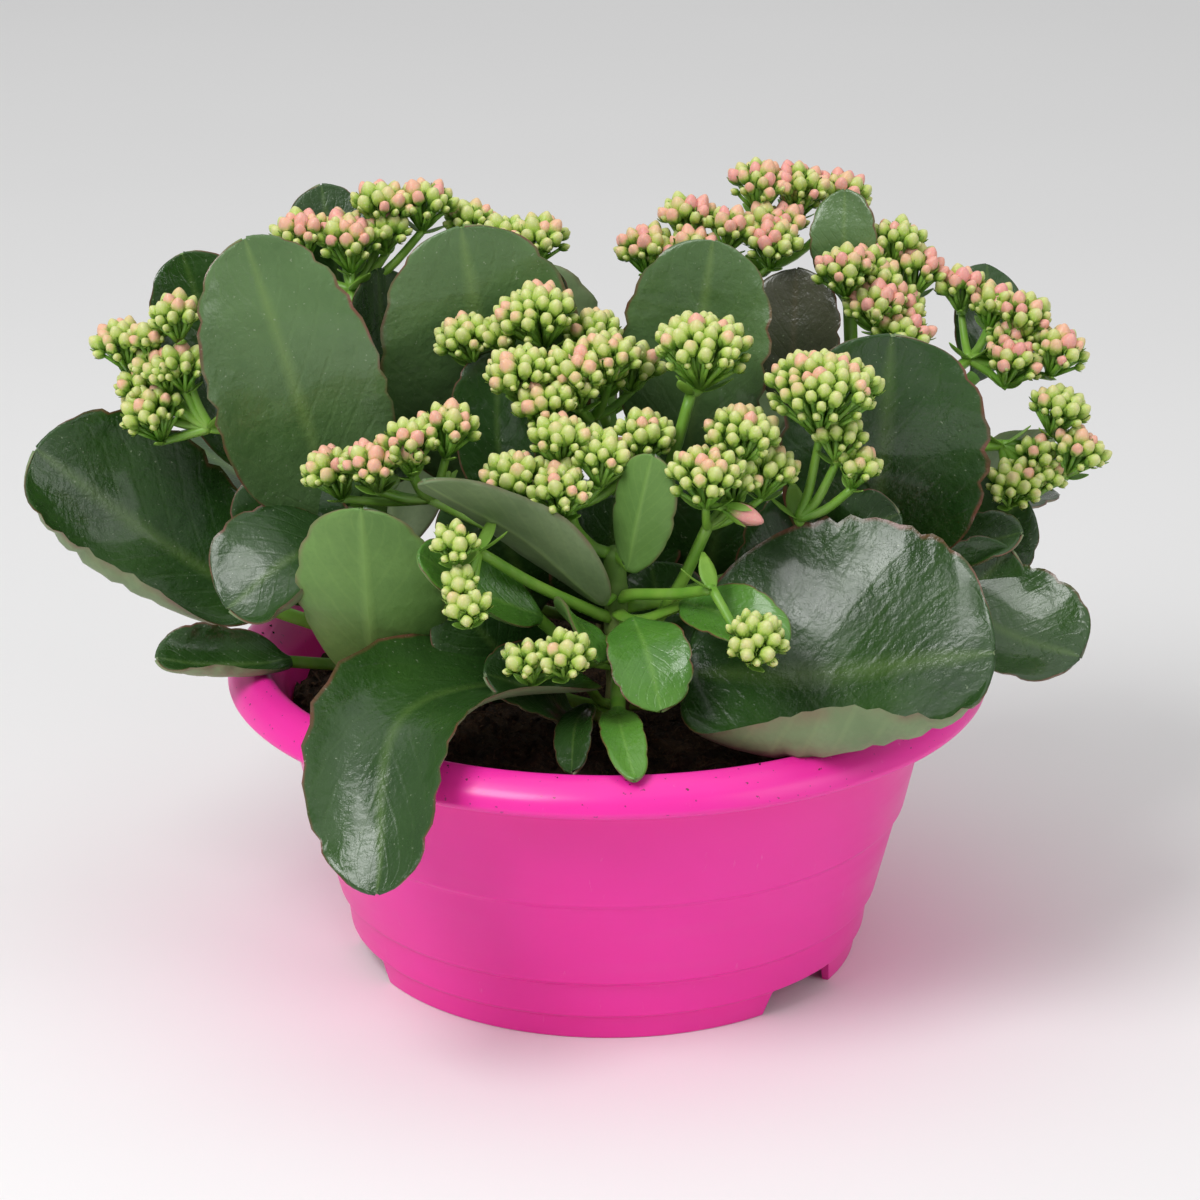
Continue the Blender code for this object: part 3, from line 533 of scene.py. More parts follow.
def bowl_material():
    mat, tree, shader = material("bowl", Specular_IOR_Level=0.5, Roughness=0.34)
    shader.inputs["Subsurface Weight"].default_value = 0.1
    shader.inputs["Subsurface Radius"].default_value = (1.0, 0.3, 0.5)
    shader.inputs["Subsurface Scale"].default_value = 0.003
    where = place(tree)
    z = height_of(tree)
    cloud = noise(tree, where, 14.0, 3.0)
    colour = ramp(tree, cloud, [(0.3, (0.88, 0.022, 0.36)), (0.7, (0.95, 0.028, 0.41))])
    bands = noise(tree, where, 40.0, 4.0, 0.6, (0.25, 0.25, 3.0))
    colour = mix(tree, grey(tree, bands, 0.0, 0.25, 0.5, 0.75), colour, (0.9, 0.07, 0.4))
    scuffs = grey(tree, noise(tree, where, 240.0, 5.0, 0.7, (1.0, 1.0, 0.18)), 0.0, 1.0, 0.66, 0.74)
    colour = mix(tree, math(tree, "MULTIPLY", scuffs, 0.3), colour, (0.95, 0.35, 0.62))
    dust = grey(tree, noise(tree, where, 620.0, 2.0), 0.0, 1.0, 0.7, 0.74)
    dust = math(tree, "MULTIPLY", dust, grey(tree, z, 0.0, 0.9, 0.086, 0.1))
    colour = mix(tree, dust, colour, (0.07, 0.03, 0.02))
    tree.links.new(colour, shader.inputs["Base Color"])
    rough = math(tree, "ADD", grey(tree, bands, 0.28, 0.42, 0.3, 0.7), math(tree, "MULTIPLY", scuffs, 0.15))
    tree.links.new(rough, shader.inputs["Roughness"])
    grain = noise(tree, where, 900.0, 3.0, 0.6)
    height = math(tree, "ADD", math(tree, "MULTIPLY", grain, 0.15), math(tree, "MULTIPLY", bands, 0.4))
    bump(tree, shader, height, 0.12, 0.0005)
    return mat


def soil_material(name, shade):
    mat, tree, shader = material(name, Specular_IOR_Level=0.25, Roughness=0.95)
    where = place(tree)
    dark = (0.012 * shade, 0.007 * shade, 0.004 * shade)
    light = (0.075 * shade, 0.04 * shade, 0.02 * shade)
    colour = ramp(tree, noise(tree, where, 220.0, 6.0, 0.7), [(0.35, dark), (0.72, light)])
    crumbs = grey(tree, noise(tree, where, 900.0, 3.0), 0.0, 0.6, 0.58, 0.7)
    colour = mix(tree, crumbs, colour, (0.14 * shade, 0.075 * shade, 0.035 * shade))
    tree.links.new(colour, shader.inputs["Base Color"])
    tree.links.new(grey(tree, noise(tree, where, 300.0), 0.75, 1.0), shader.inputs["Roughness"])
    bump(tree, shader, noise(tree, where, 420.0, 6.0, 0.7), 0.9, 0.003)
    return mat


STALK = stalk_material()
WOODY = woody_material()
BUD = bud_material()
SEPAL = sepal_material()
BOWL = bowl_material()
SOIL = soil_material("soil", 1.0)
CRUMB = soil_material("soil_crumbs", 1.3)


# ---------------------------------------------------------------- mesh helpers
def add(name, slot, verts, faces, mats, which=None, uvs=None, node_name=None, smooth=True):
    """A mesh from vertices in millimetres, riding on the frame. uvs holds one pair for each vertex."""
    mesh = bpy.data.meshes.new(name)
    verts = np.asarray(verts, float) * MM
    mesh.from_pydata(verts.tolist(), [], [list(map(int, f)) for f in faces])
    for mat in mats:
        mesh.materials.append(mat)
    if which is not None:
        mesh.polygons.foreach_set("material_index", np.asarray(which, np.int32))
    if uvs is not None:
        layer = mesh.uv_layers.new(name="UVMap")
        index = np.zeros(len(mesh.loops), np.int32)
        mesh.loops.foreach_get("vertex_index", index)
        layer.data.foreach_set("uv", np.asarray(uvs, np.float32)[index].ravel())
    mesh.polygons.foreach_set("use_smooth", [smooth] * len(mesh.polygons))
    mesh.update()
    obj = bpy.data.objects.new(name, mesh)
    bpy.context.scene.collection.objects.link(obj)
    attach(obj, "root")
    if node_name:
        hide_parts(node_name)
    return obj


class Pile:
    """Gathers many small shapes into one mesh."""

    def __init__(self):
        self.verts, self.faces, self.which, self.uvs, self.count = [], [], [], [], 0

    def put(self, verts, faces, which=0, uvs=None):
        self.verts.append(np.asarray(verts, float))
        self.faces.extend([tuple(i + self.count for i in f) for f in faces])
        self.which.extend([which] * len(faces) if isinstance(which, int) else which)
        self.uvs.append(np.zeros((len(verts), 2)) if uvs is None else np.asarray(uvs, float))
        self.count += len(verts)

    def make(self, name, slot, mats, node_name=None, smooth=True):
        return add(name, slot, np.vstack(self.verts), self.faces, mats, self.which, np.vstack(self.uvs),
                   node_name, smooth)


def unit(v):
    v = np.asarray(v, float)
    return v / np.linalg.norm(v)


def smooth_path(points, per_span):
    """A smooth curve through the points, with per_span steps from each to the next."""
    p = [np.asarray(q, float) for q in points]
    p = [2 * p[0] - p[1]] + p + [2 * p[-1] - p[-2]]
    out = []
    for i in range(1, len(p) - 2):
        steps = per_span[i - 1]
        m0 = (p[i + 1] - p[i - 1]) / 2
        m1 = (p[i + 2] - p[i]) / 2
        length = np.linalg.norm(p[i + 1] - p[i])
        m0 = m0 * min(1.0, length / max(np.linalg.norm(m0), 1e-9))
        m1 = m1 * min(1.0, length / max(np.linalg.norm(m1), 1e-9))
        for t in np.arange(steps) / steps:
            h = (2 * t**3 - 3 * t**2 + 1, t**3 - 2 * t**2 + t, -2 * t**3 + 3 * t**2, t**3 - t**2)
            out.append(h[0] * p[i] + h[1] * m0 + h[2] * p[i + 1] + h[3] * m1)
    out.append(p[-2])
    return np.array(out)


def tube(path, radii, sides=8, ridges=0.0):
    """A closed tube along a path. ridges raises soft corners along it."""
    path = np.asarray(path, float)
    t = np.gradient(path, axis=0)
    t = t / np.maximum(np.linalg.norm(t, axis=1), 1e-9)[:, None]
    n = np.cross(t[0], (0.31, 0.95, 0.05))
    verts = []
    for i in range(len(path)):
        n = n - t[i] * n.dot(t[i])
        n = n / np.linalg.norm(n)
        b = np.cross(t[i], n)
        for k in range(sides):
            a = 2 * np.pi * k / sides
            r = radii[i] * (1 + ridges * np.cos(4 * a))
            verts.append(path[i] + r * (n * np.cos(a) + b * np.sin(a)))
    faces = []
    for i in range(len(path) - 1):
        for k in range(sides):
            a, c = i * sides + k, i * sides + (k + 1) % sides
            faces.append((a, c, c + sides, a + sides))
    faces.append(tuple(range(sides - 1, -1, -1)))
    faces.append(tuple((len(path) - 1) * sides + k for k in range(sides)))
    return np.array(verts), faces


def stem_at(name, z):
    low, bend, top, radius = STEMS[name]
    path = smooth_path([low, bend, top], [12, 12])
    return np.array([np.interp(z, path[:, 2], path[:, k]) for k in range(3)]), radius


# ---------------------------------------------------------------- leaves
def half_width(s, belly):
    """Outline of a blade from root (0) to tip (1), widest at belly, with a blunt tip."""
    blunt = 0.44
    taper = blunt * belly / (1 - belly)
    return (s**taper * (1 - s) ** blunt) / (belly**taper * (1 - belly) ** blunt)


def leaf_rows(spec, petiole_rows, blade_rows):
    """Centre line, frames and half widths of a leaf: stalk rows first, then blade rows."""
    root = np.array(spec["root"], float)
    tip = np.array(spec["tip"], float)
    face = unit(spec["face"])
    along = unit(tip - root)
    face = unit(face - along * face.dot(along))
    side = np.cross(along, face)
    middle = (root + tip) / 2 + face * spec.get("arch", 0) + side * spec.get("sway", 0)
    knee = np.array(spec.get("knee", middle), float)
    blade = smooth_path([root, knee, tip], [40, 40])
    foot, radius = stem_at(spec["stem"], spec["z"])
    out = unit((root - foot) * (1, 1, 0))
    foot = foot + out * (radius - 1.5)
    lift = foot + out * 0.35 * np.linalg.norm(root - foot) + (root - foot) * (0, 0, 0.25)
    stalk = smooth_path([foot, lift, root], [10, 10])
    fine = np.vstack([stalk[:-1], blade])
    split = len(stalk) - 1
    for _ in range(6):
        fine[split - 4:split + 8] = (fine[split - 5:split + 7] + fine[split - 4:split + 8] * 2
                                     + fine[split - 3:split + 9]) / 4
    tangents = np.gradient(fine, axis=0)
    tangents = tangents / np.linalg.norm(tangents, axis=1)[:, None]
    faces = np.zeros_like(fine)
    faces[split] = unit(face - tangents[split] * face.dot(tangents[split]))
    for i in range(split + 1, len(fine)):
        faces[i] = unit(faces[i - 1] - tangents[i] * faces[i - 1].dot(tangents[i]))
    for i in range(split - 1, -1, -1):
        faces[i] = unit(faces[i + 1] - tangents[i] * faces[i + 1].dot(tangents[i]))
    s = 0.5 - 0.5 * np.cos(np.pi * (np.arange(blade_rows) + 0.25) / (blade_rows - 0.72))
    where = np.concatenate([np.linspace(0, split, petiole_rows, endpoint=False),
                            split + s * (len(fine) - 1 - split)])
    index = np.arange(len(fine))

    def pick(values):
        return np.stack([np.interp(where, index, values[:, k]) for k in range(3)], axis=1)

    centre, t, n = pick(fine), pick(tangents), pick(faces)
    t = t / np.linalg.norm(t, axis=1)[:, None]
    n = n - t * (n * t).sum(1)[:, None]
    n = n / np.linalg.norm(n, axis=1)[:, None]
    b = np.cross(t, n)
    stalk_half = 2.4
    q = np.concatenate([np.linspace(-1, 0, petiole_rows, endpoint=False), s])
    widths = np.full(len(where), stalk_half)
    blade_half = spec["width"] / 2 * half_width(np.clip(s, 1e-4, 1 - 1e-4), spec.get("belly", 0.56))
    widths[petiole_rows:] = np.sqrt(blade_half**2 + (stalk_half * (1 - s)) ** 2)
    lifts = np.concatenate([np.zeros(petiole_rows), np.sin(np.pi * np.clip(s, 0, 1)) ** 0.5])
    return centre, t, n, b, widths, lifts, q


def leaf_piece(index, name, spec, like=None):
    """The whole leaf as a thick skin: top, underside and a rounded margin."""
    rng = np.random.RandomState(100 + index)
    petiole_rows, blade_rows, across = ((7, 38, 28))
    centre, t, n, b, widths, lifts, q = leaf_rows(spec, petiole_rows, blade_rows)
    length = np.linalg.norm(np.array(spec["tip"], float) - np.array(spec["root"], float))
    teeth = max(5, round(length * 0.75 / 7.5))
    depth = 0.085
    v = np.linspace(-1, 1, across + 1)
    v = np.sign(v) * np.abs(v) ** 0.9
    fine = np.linspace(0, 1, 49)
    middle = (fine[1:] + fine[:-1]) / 2
    rows, cols = len(centre), across + 1
    mid = np.zeros((rows, cols, 3))
    phases = rng.uniform(0, 6.28, 8)
    size = spec["width"] / 60.0
    for i in range(rows):
        distal = np.clip((q[i] - 0.28) / 0.15, 0, 1)
        for sign, (lift, curl) in ((1, spec["right"]), (-1, spec["left"])):
            shift = 0.35 if sign > 0 else 0.0
            notch = 1 - np.abs(np.sin(np.pi * (teeth * q[i] + shift + 0.3 * np.sin(3 * q[i] + phases[0]))))
            width = widths[i] * (1 - depth * distal * notch**2)
            angle = np.radians(lift) * middle * 2 + np.radians(curl) * np.clip((middle - 0.5) / 0.35, 0, 1)
            angle = angle * lifts[i]
            out = np.concatenate([[0], np.cumsum(np.cos(angle))]) / 48 * width
            up = np.concatenate([[0], np.cumsum(np.sin(angle))]) / 48 * width
            pick = sign * v >= 0
            a = np.interp(np.abs(v[pick]), fine, out)
            h = np.interp(np.abs(v[pick]), fine, up)
            flat = np.abs(v[pick])
            wave = 1.6 * np.sin(5.5 * q[i] + phases[1] + sign) + 0.9 * np.sin(12 * q[i] + phases[2] - sign)
            h = h + flat**2 * wave * size * lifts[i]
            h = h + 0.9 * size * (notch - 0.5) * distal * flat**6
            dimple = 0.9 * np.sin(8 * q[i] + phases[3]) * np.sin(3 * sign * v[pick] + phases[4])
            h = h + dimple * size * lifts[i]
            mid[i, pick] = centre[i] + b[i] * (a * sign)[:, None] + n[i] * h[:, None]
    du = np.gradient(mid, axis=0)
    dv = np.gradient(mid, axis=1)
    normal = np.cross(dv, du)
    normal = normal / np.maximum(np.linalg.norm(normal, axis=2), 1e-9)[..., None]
    blade = np.clip(q / 0.12, 0, 1)[:, None]
    thick = 0.85 * np.sqrt(np.clip(1 - np.abs(v) ** 6, 0.03, 1))[None, :]
    stalk = 1.5 * np.sqrt(np.clip(1 - v**2, 0.0, 1))[None, :]
    half = thick * blade + stalk * (1 - blade)
    rib = np.exp(-((v[None, :] * widths[:, None] / 1.8) ** 2)) * np.clip(1 - q, 0.0, 1)[:, None]
    top = mid + normal * (half - 0.45 * rib * blade)[..., None]
    low = mid - normal * (half + 0.7 * rib * blade)[..., None]
    low[:, [0, -1]] = top[:, [0, -1]] = mid[:, [0, -1]]
    uv = np.zeros((rows, cols, 2))
    uv[..., 0] = q[:, None] * 0.9 + 0.05
    uv[..., 1] = (v * 0.5 + 0.5)[None, :]
    verts = np.concatenate([low.reshape(-1, 3), top.reshape(-1, 3)])
    count = rows * cols
    faces, which = [], []
    for i in range(rows - 1):
        for j in range(cols - 1):
            a = i * cols + j
            faces.append((a, a + cols, a + cols + 1, a + 1))
            which.append(2 if q[i] < -0.02 else 1)
            faces.append((count + a, count + a + 1, count + a + cols + 1, count + a + cols))
            which.append(2 if q[i] < -0.02 else 0)
    ends = [list(range(cols)), [(rows - 1) * cols + j for j in range(cols - 1, -1, -1)]]
    for end in ends:
        for a, c in zip(end, end[1:]):
            faces.append((a, c, count + c, count + a))
            which.append(1)
    uvs = np.concatenate([uv.reshape(-1, 2)] * 2)
    top_look, under_look = LOOKS.get(name, ("dark", "pale"))
    mats = [TOPS[top_look], UNDERS[under_look], STALK]
    return add(f"fine_{name}", like or f"leaf_{name}", verts, faces, mats, which, uvs,
               None if like else f"leaf_{name}")


# ---------------------------------------------------------------- flower heads
def frame_of(axis, turn):
    axis = unit(axis)
    n = np.cross(axis, (0.2, 0.1, 1.0) if abs(axis[2]) < 0.9 else (1.0, 0.2, 0.1))
    n = unit(n)
    b = np.cross(axis, n)
    return n * np.cos(turn) + b * np.sin(turn), b * np.cos(turn) - n * np.sin(turn), axis


def bud_shape():
    """A closed bud of unit width and height, with four folded petals and a pointed tip."""
    sides, rows = ((10, 6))
    verts, faces, uvs = [], [], []
    for i in range(rows + 1):
        t = np.sin(np.pi / 2 * i / rows)
        r = max(0.5 * np.sin(np.pi * min(0.12 + 0.88 * t, 1.0)) ** 0.55 * (1 - 0.1 * t), 0.02)
        for k in range(sides):
            a = 2 * np.pi * k / sides
            lobe = 1 + 0.09 * np.cos(4 * a + 1.2 * t) * np.sin(np.pi * t) ** 0.5
            verts.append((r * lobe * np.cos(a), r * lobe * np.sin(a), t))
            uvs.append((0.0, t))
    for i in range(rows):
        for k in range(sides):
            a, c = i * sides + k, i * sides + (k + 1) % sides
            faces.append((a, c, c + sides, a + sides))
    faces.append(tuple(range(sides - 1, -1, -1)))
    faces.append(tuple(rows * sides + k for k in range(sides)))
    return np.array(verts), faces, np.array(uvs)


def sepal_shape():
    """Four narrow sepals that clasp the lower half of a bud."""
    verts, faces, uvs = [], [], []
    for k in range(4):
        a0 = np.pi / 2 * k + 0.4
        base = len(verts)
        steps = [(-0.1, 0.3, 0.24), (0.16, 0.5, 0.47), (0.4, 0.36, 0.56), (0.62, 0.03, 0.58)]
        for i, (t, wide, out) in enumerate(steps):
            for sign in (-1, 0, 1):
                a = a0 + sign * wide
                r = out + 0.05 * (sign == 0)
                verts.append((r * np.cos(a), r * np.sin(a), t))
                uvs.append((0.5, i / 3))
        for i in range(3):
            for j in range(2):
                a = base + i * 3 + j
                faces.append((a, a + 1, a + 4, a + 3))
    return np.array(verts), faces, np.array(uvs)


BUD_SHAPE = bud_shape()
SEPAL_SHAPE = sepal_shape()


def put_bud(pile, foot, axis, wide, tall, turn, ripe):
    n, b, a = frame_of(axis, turn)
    for (verts, faces, uvs), which in ((BUD_SHAPE, 0), (SEPAL_SHAPE, 1)):
        moved = foot + wide * (verts[:, :1] * n + verts[:, 1:2] * b) + tall * verts[:, 2:3] * a
        tags = uvs.copy()
        tags[:, 0] = ripe
        pile.put(moved, faces, which, tags)


def put_bract(pile, foot, out, up, length, width):
    """A small spoon-shaped leaf at a fork."""
    rows, cols = 7, 5
    out, up = unit(out), unit(up)
    side = np.cross(out, up)
    side = unit(side)
    verts, faces = [], []
    for skin in (1, -1):
        for i in range(rows):
            t = i / (rows - 1)
            centre = foot + out * length * t + up * length * (0.55 * t**1.6)
            half = width / 2 * max(0.12, np.sin(np.pi * (0.1 + 0.86 * t)) ** 0.8)
            for j in range(cols):
                v = 2 * j / (cols - 1) - 1
                rise = 0.22 * half * v * v + skin * 0.28 * (1 - 0.8 * v * v)
                verts.append(centre + side * half * v + up * rise)
    count = rows * cols
    for i in range(rows - 1):
        for j in range(cols - 1):
            a = i * cols + j
            faces.append((a, a + cols, a + cols + 1, a + 1))
            faces.append((count + a, count + a + 1, count + a + cols + 1, count + a + cols))
    ring = list(range(cols)) + [i * cols + cols - 1 for i in range(1, rows)]
    ring += [(rows - 1) * cols + j for j in range(cols - 2, -1, -1)]
    ring += [i * cols for i in range(rows - 2, 0, -1)]
    for a, c in zip(ring, ring[1:] + ring[:1]):
        faces.append((a, c, count + c, count + a))
    uvs = [(0.5, 0.2 + 0.5 * (i % count) / count) for i in range(2 * count)]
    pile.put(verts, faces, 1, uvs)


def put_umbel(pile, rng, centre, radius, start, ripe):
    """Buds packed in a low dome on thin stalks that spread from one point below it."""
    lean = unit(centre - start)
    axis = unit(np.array((0, -0.16, 1.0)) + 0.35 * lean)
    n, b, a = frame_of(axis, rng.uniform(0, 6.28))
    fork = centre - a * (0.75 * radius + 4.0)
    pitch = 4.6
    count = max(6, int(3.7 * (radius / pitch) ** 2))
    for k in range(count):
        rr = radius * np.sqrt((k + 0.5) / count)
        turn = 2.39996 * k + rng.uniform(-0.15, 0.15)
        edge = rr / radius
        wide = (5.5 - 1.4 * edge**2) * rng.uniform(0.8, 1.16)
        tall = wide * rng.uniform(1.12, 1.32)
        rise = 0.42 * radius * (1 - edge**2) + rng.uniform(-0.9, 0.7)
        direction = unit(a + (n * np.cos(turn) + b * np.sin(turn)) * (0.85 * edge))
        middle = centre + (n * np.cos(turn) + b * np.sin(turn)) * (rr - 0.6 * edge) + a * rise
        foot = middle - direction * tall * 0.5
        own = np.clip(ripe + rng.uniform(-0.45, 0.4) - 0.25 * edge, 0, 1)
        put_bud(pile, foot, direction, wide, tall, rng.uniform(0, 6.28), own)
        joint = fork + (middle - fork) * 0.25 + (n * np.cos(turn) + b * np.sin(turn)) * 0.4
        path = [fork, joint, foot + direction * 0.4]
        pile.put(*tube(path, [1.0, 0.8, 0.75], 5), 2)
    small = max(4, int(radius * 0.9))
    for k in range(small):
        turn = 6.2832 * (k + rng.uniform(-0.3, 0.3)) / small
        out = n * np.cos(turn) + b * np.sin(turn)
        wide = rng.uniform(2.3, 3.3)
        direction = unit(a * 0.6 + out * rng.uniform(0.7, 1.1))
        foot = centre + out * (radius * 0.8 - 0.5) - a * rng.uniform(0.12, 0.4) * radius
        put_bud(pile, foot, direction, wide, wide * 1.35, rng.uniform(0, 6.28), rng.uniform(0, 0.3))
        pile.put(*tube([fork + (foot - fork) * 0.2, foot + direction * 0.3], [0.8, 0.6], 5), 2)
    for side in (0, 1):
        out = (n * np.cos(2.2 + 3.14 * side) + b * np.sin(2.2 + 3.14 * side))
        put_bract(pile, fork - a * 0.5, out, a, rng.uniform(5.5, 8.0) * (0.6 + radius / 22), rng.uniform(3.2, 4.6))
    return fork


def filled(umbels):
    """The umbels, full size, with a smaller and lower one in each gap between near neighbours."""
    out = [(x, y, z, 1.2 * r) for x, y, z, r in umbels]
    for i, (x, y, z, r) in enumerate(umbels):
        for x2, y2, z2, r2 in umbels[i + 1:]:
            gap = np.hypot(np.hypot(x2 - x, y2 - y), z2 - z) - 1.2 * (r + r2)
            if 0.0 < gap < 14.0:
                out.append(((x + x2) / 2, (y + y2) / 2, (z + z2) / 2 - 3.0, 0.4 * (r + r2)))
    return out


def flower_head(index, name, spec):
    rng = np.random.RandomState(500 + index)
    pile = Pile()
    foot, radius = stem_at(spec["stem"], spec["z"])
    fork = np.array(spec["fork"], float)
    out = unit((fork - foot) * (1, 1, 0.0))
    foot = foot + out * (radius - 1.5)
    bend = foot + out * 5 + (0, 0, 2.5)
    path = smooth_path([foot, bend, (bend + fork) / 2 + out * 2, fork], [3, 5, 5])
    radii = np.linspace(2.1, 1.75, len(path))
    pile.put(*tube(path, radii, 10, 0.06), 2)
    for x, y, z, r in filled(spec["umbels"]):
        centre = np.array((x, y, z), float)
        start = fork
        end = put_umbel(pile, rng, centre, r, start, RIPENESS.get(name, 0.45))
        span = np.linalg.norm(end - start)
        bow = (start + end) / 2 + (end - start) * (0, 0, -0.12) + (0, 0, -0.04 * span)
        branch = smooth_path([start, bow, end + unit(end - bow) * 1.0], [4, 4])
        pile.put(*tube(branch, np.linspace(1.65, 1.25, len(branch)), 8, 0.05), 2)
    if name in OPEN_BUDS:
        joint, foot, direction = (np.array(v, float) for v in OPEN_BUDS[name])
        put_bud(pile, foot, unit(direction), 6.6, 12.0, 0.4, 1.0)
        pile.put(*tube([joint, foot + unit(direction) * 0.6], [1.1, 1.4], 8), 2)
    for side in (0, 1):
        a = rng.uniform(0, 6.28) + 3.14 * side
        put_bract(pile, fork, (np.cos(a), np.sin(a), 0.2), (0, 0, 1), rng.uniform(9, 13), rng.uniform(4.5, 6.5))
    return pile.make(f"heads_{name}", f"flowers_{name}", [BUD, SEPAL, STALK], f"flowers_{name}")


# ---------------------------------------------------------------- bowl, soil and stems
def rounded(corners):
    """A closed outline with each corner rounded by its own radius."""
    out = []
    count = len(corners)
    for i, (r, z, size) in enumerate(corners):
        here = np.array((r, z))
        before = np.array(corners[i - 1][:2]) - here
        after = np.array(corners[(i + 1) % count][:2]) - here
        if size <= 0:
            out.append(here)
            continue
        reach = min(size, 0.45 * np.linalg.norm(before), 0.45 * np.linalg.norm(after))
        p, s = here + unit(before) * reach, here + unit(after) * reach
        for t in (0.0, 0.25, 0.5, 0.75, 1.0):
            out.append((1 - t) ** 2 * p + 2 * t * (1 - t) * here + t * t * s)
    return out


def lathe(profile, sides):
    verts, faces, index = [], [], []
    for r, z in profile:
        if r < 1e-6:
            index.append([len(verts)] * sides)
            verts.append((0.0, 0.0, z))
        else:
            index.append(list(range(len(verts), len(verts) + sides)))
            for k in range(sides):
                a = 2 * np.pi * k / sides
                verts.append((r * np.cos(a), r * np.sin(a), z))
    count = len(profile)
    for i in range(count):
        low, high = index[i], index[(i + 1) % count]
        for k in range(sides):
            m = (k + 1) % sides
            face = []
            for corner in (low[k], low[m], high[m], high[k]):
                if corner not in face:
                    face.append(corner)
            if len(face) > 2:
                faces.append(tuple(face))
    return np.array(verts), faces


def cutter(verts, faces):
    mesh = bpy.data.meshes.new("cutter")
    mesh.from_pydata((np.asarray(verts) * MM).tolist(), [], [tuple(f) for f in faces])
    obj = bpy.data.objects.new("cutter", mesh)
    bpy.context.scene.collection.objects.link(obj)
    return obj


def notch(middle):
    """A block through the skirt of the foot, with leaning side walls."""
    verts = []
    for r in (SKIRT_INSIDE - 8, 92.0):
        for half, z in ((NOTCH_HALF_ANGLE + 1.6, -2.0), (NOTCH_HALF_ANGLE - 1.2, NOTCH_TOP)):
            for sign in (-1, 1):
                a = np.radians(middle - 90 + sign * half)
                verts.append((r * np.cos(a), r * np.sin(a), z))
    faces = [(0, 1, 3, 2), (5, 4, 6, 7), (1, 0, 4, 5), (2, 3, 7, 6), (0, 2, 6, 4), (3, 1, 5, 7)]
    return verts, [tuple(reversed(f)) for f in faces]


def make_bowl():
    hub = [(0.0, 0.0, 0), (HUB_RADIUS, 0.0, 0.6), (HUB_RADIUS - 0.8, FLOOR_UNDER, 0.8)]
    under = [(SKIRT_INSIDE + 1.2, FLOOR_UNDER, 0.8), (SKIRT_INSIDE, 0.0, 0.5)]
    profile = rounded(hub + under + OUTSIDE + INSIDE + [(0.0, FLOOR_TOP, 0)])
    bowl = add("planter_bowl", "bowl", *lathe(profile, 240), [BOWL], node_name="bowl")
    cutters = [cutter(*notch(middle)) for middle in NOTCH_MIDDLES]
    for k in range(6):
        a = np.radians(60 * k + 15)
        x, y = DRAIN_CIRCLE * np.cos(a), DRAIN_CIRCLE * np.sin(a)
        cutters.append(cutter(*tube([(x, y, FLOOR_UNDER - 2), (x, y, FLOOR_TOP + 2)], [DRAIN_RADIUS] * 2, 24)))
    for other in cutters:
        step = bowl.modifiers.new("cut", "BOOLEAN")
        step.operation = "DIFFERENCE"
        step.solver = "EXACT"
        step.object = other
    bpy.context.view_layer.update()
    mesh = bpy.data.meshes.new_from_object(bowl.evaluated_get(bpy.context.evaluated_depsgraph_get()))
    bowl.modifiers.clear()
    bowl.data = mesh
    for other in cutters:
        bpy.data.objects.remove(other)
    mesh.polygons.foreach_set("use_smooth", [True] * len(mesh.polygons))
    mesh.set_sharp_from_angle(angle=np.radians(38))
    return bowl


def soil_height(x, y):
    bumps = 1.6 * np.sin(0.11 * x + 0.6) * np.sin(0.13 * y + 1.1) + 0.9 * np.sin(0.29 * x - 0.21 * y)
    edge = -3.0 * np.clip((np.hypot(x, y) - 80) / 20, 0, 1)
    return SOIL_LEVEL - 0.6 + bumps + edge


def make_soil():
    rng = np.random.RandomState(7)
    rings, sides = ((64, 170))
    waves = [(rng.uniform(0.3, 2.2), rng.uniform(0, 6.28), rng.uniform(0, 6.28)) for _ in range(24)]
    verts, faces = [], []
    for i in range(rings + 1):
        r = 103.6 * i / rings
        for k in range(sides):
            a = 2 * np.pi * k / sides
            x, y = r * np.cos(a), r * np.sin(a)
            z = soil_height(x, y)
            for f, turn, phase in waves:
                z += 0.42 / (0.6 + f) * np.sin(f * (x * np.cos(turn) + y * np.sin(turn)) + phase)
            verts.append((x, y, z + rng.uniform(-0.35, 0.35)))
    for i in range(rings):
        for k in range(sides):
            a, c = i * sides + k, i * sides + (k + 1) % sides
            faces.append((a, a + sides, c + sides, c))
    wall = [(102.9, 80.0), (95.0, 53.0), (86.0, 22.0), (83.0, FLOOR_TOP + 0.3)]
    for r, z in wall:
        for k in range(sides):
            a = 2 * np.pi * k / sides
            verts.append((r * np.cos(a), r * np.sin(a), z))
    for i in range(rings, rings + len(wall)):
        for k in range(sides):
            a, c = i * sides + k, i * sides + (k + 1) % sides
            faces.append((a, a + sides, c + sides, c))
    faces.append(tuple((rings + len(wall)) * sides + k for k in range(sides - 1, -1, -1)))
    return add("soil_bed", "soil", verts, faces, [SOIL], node_name="soil", smooth=False)


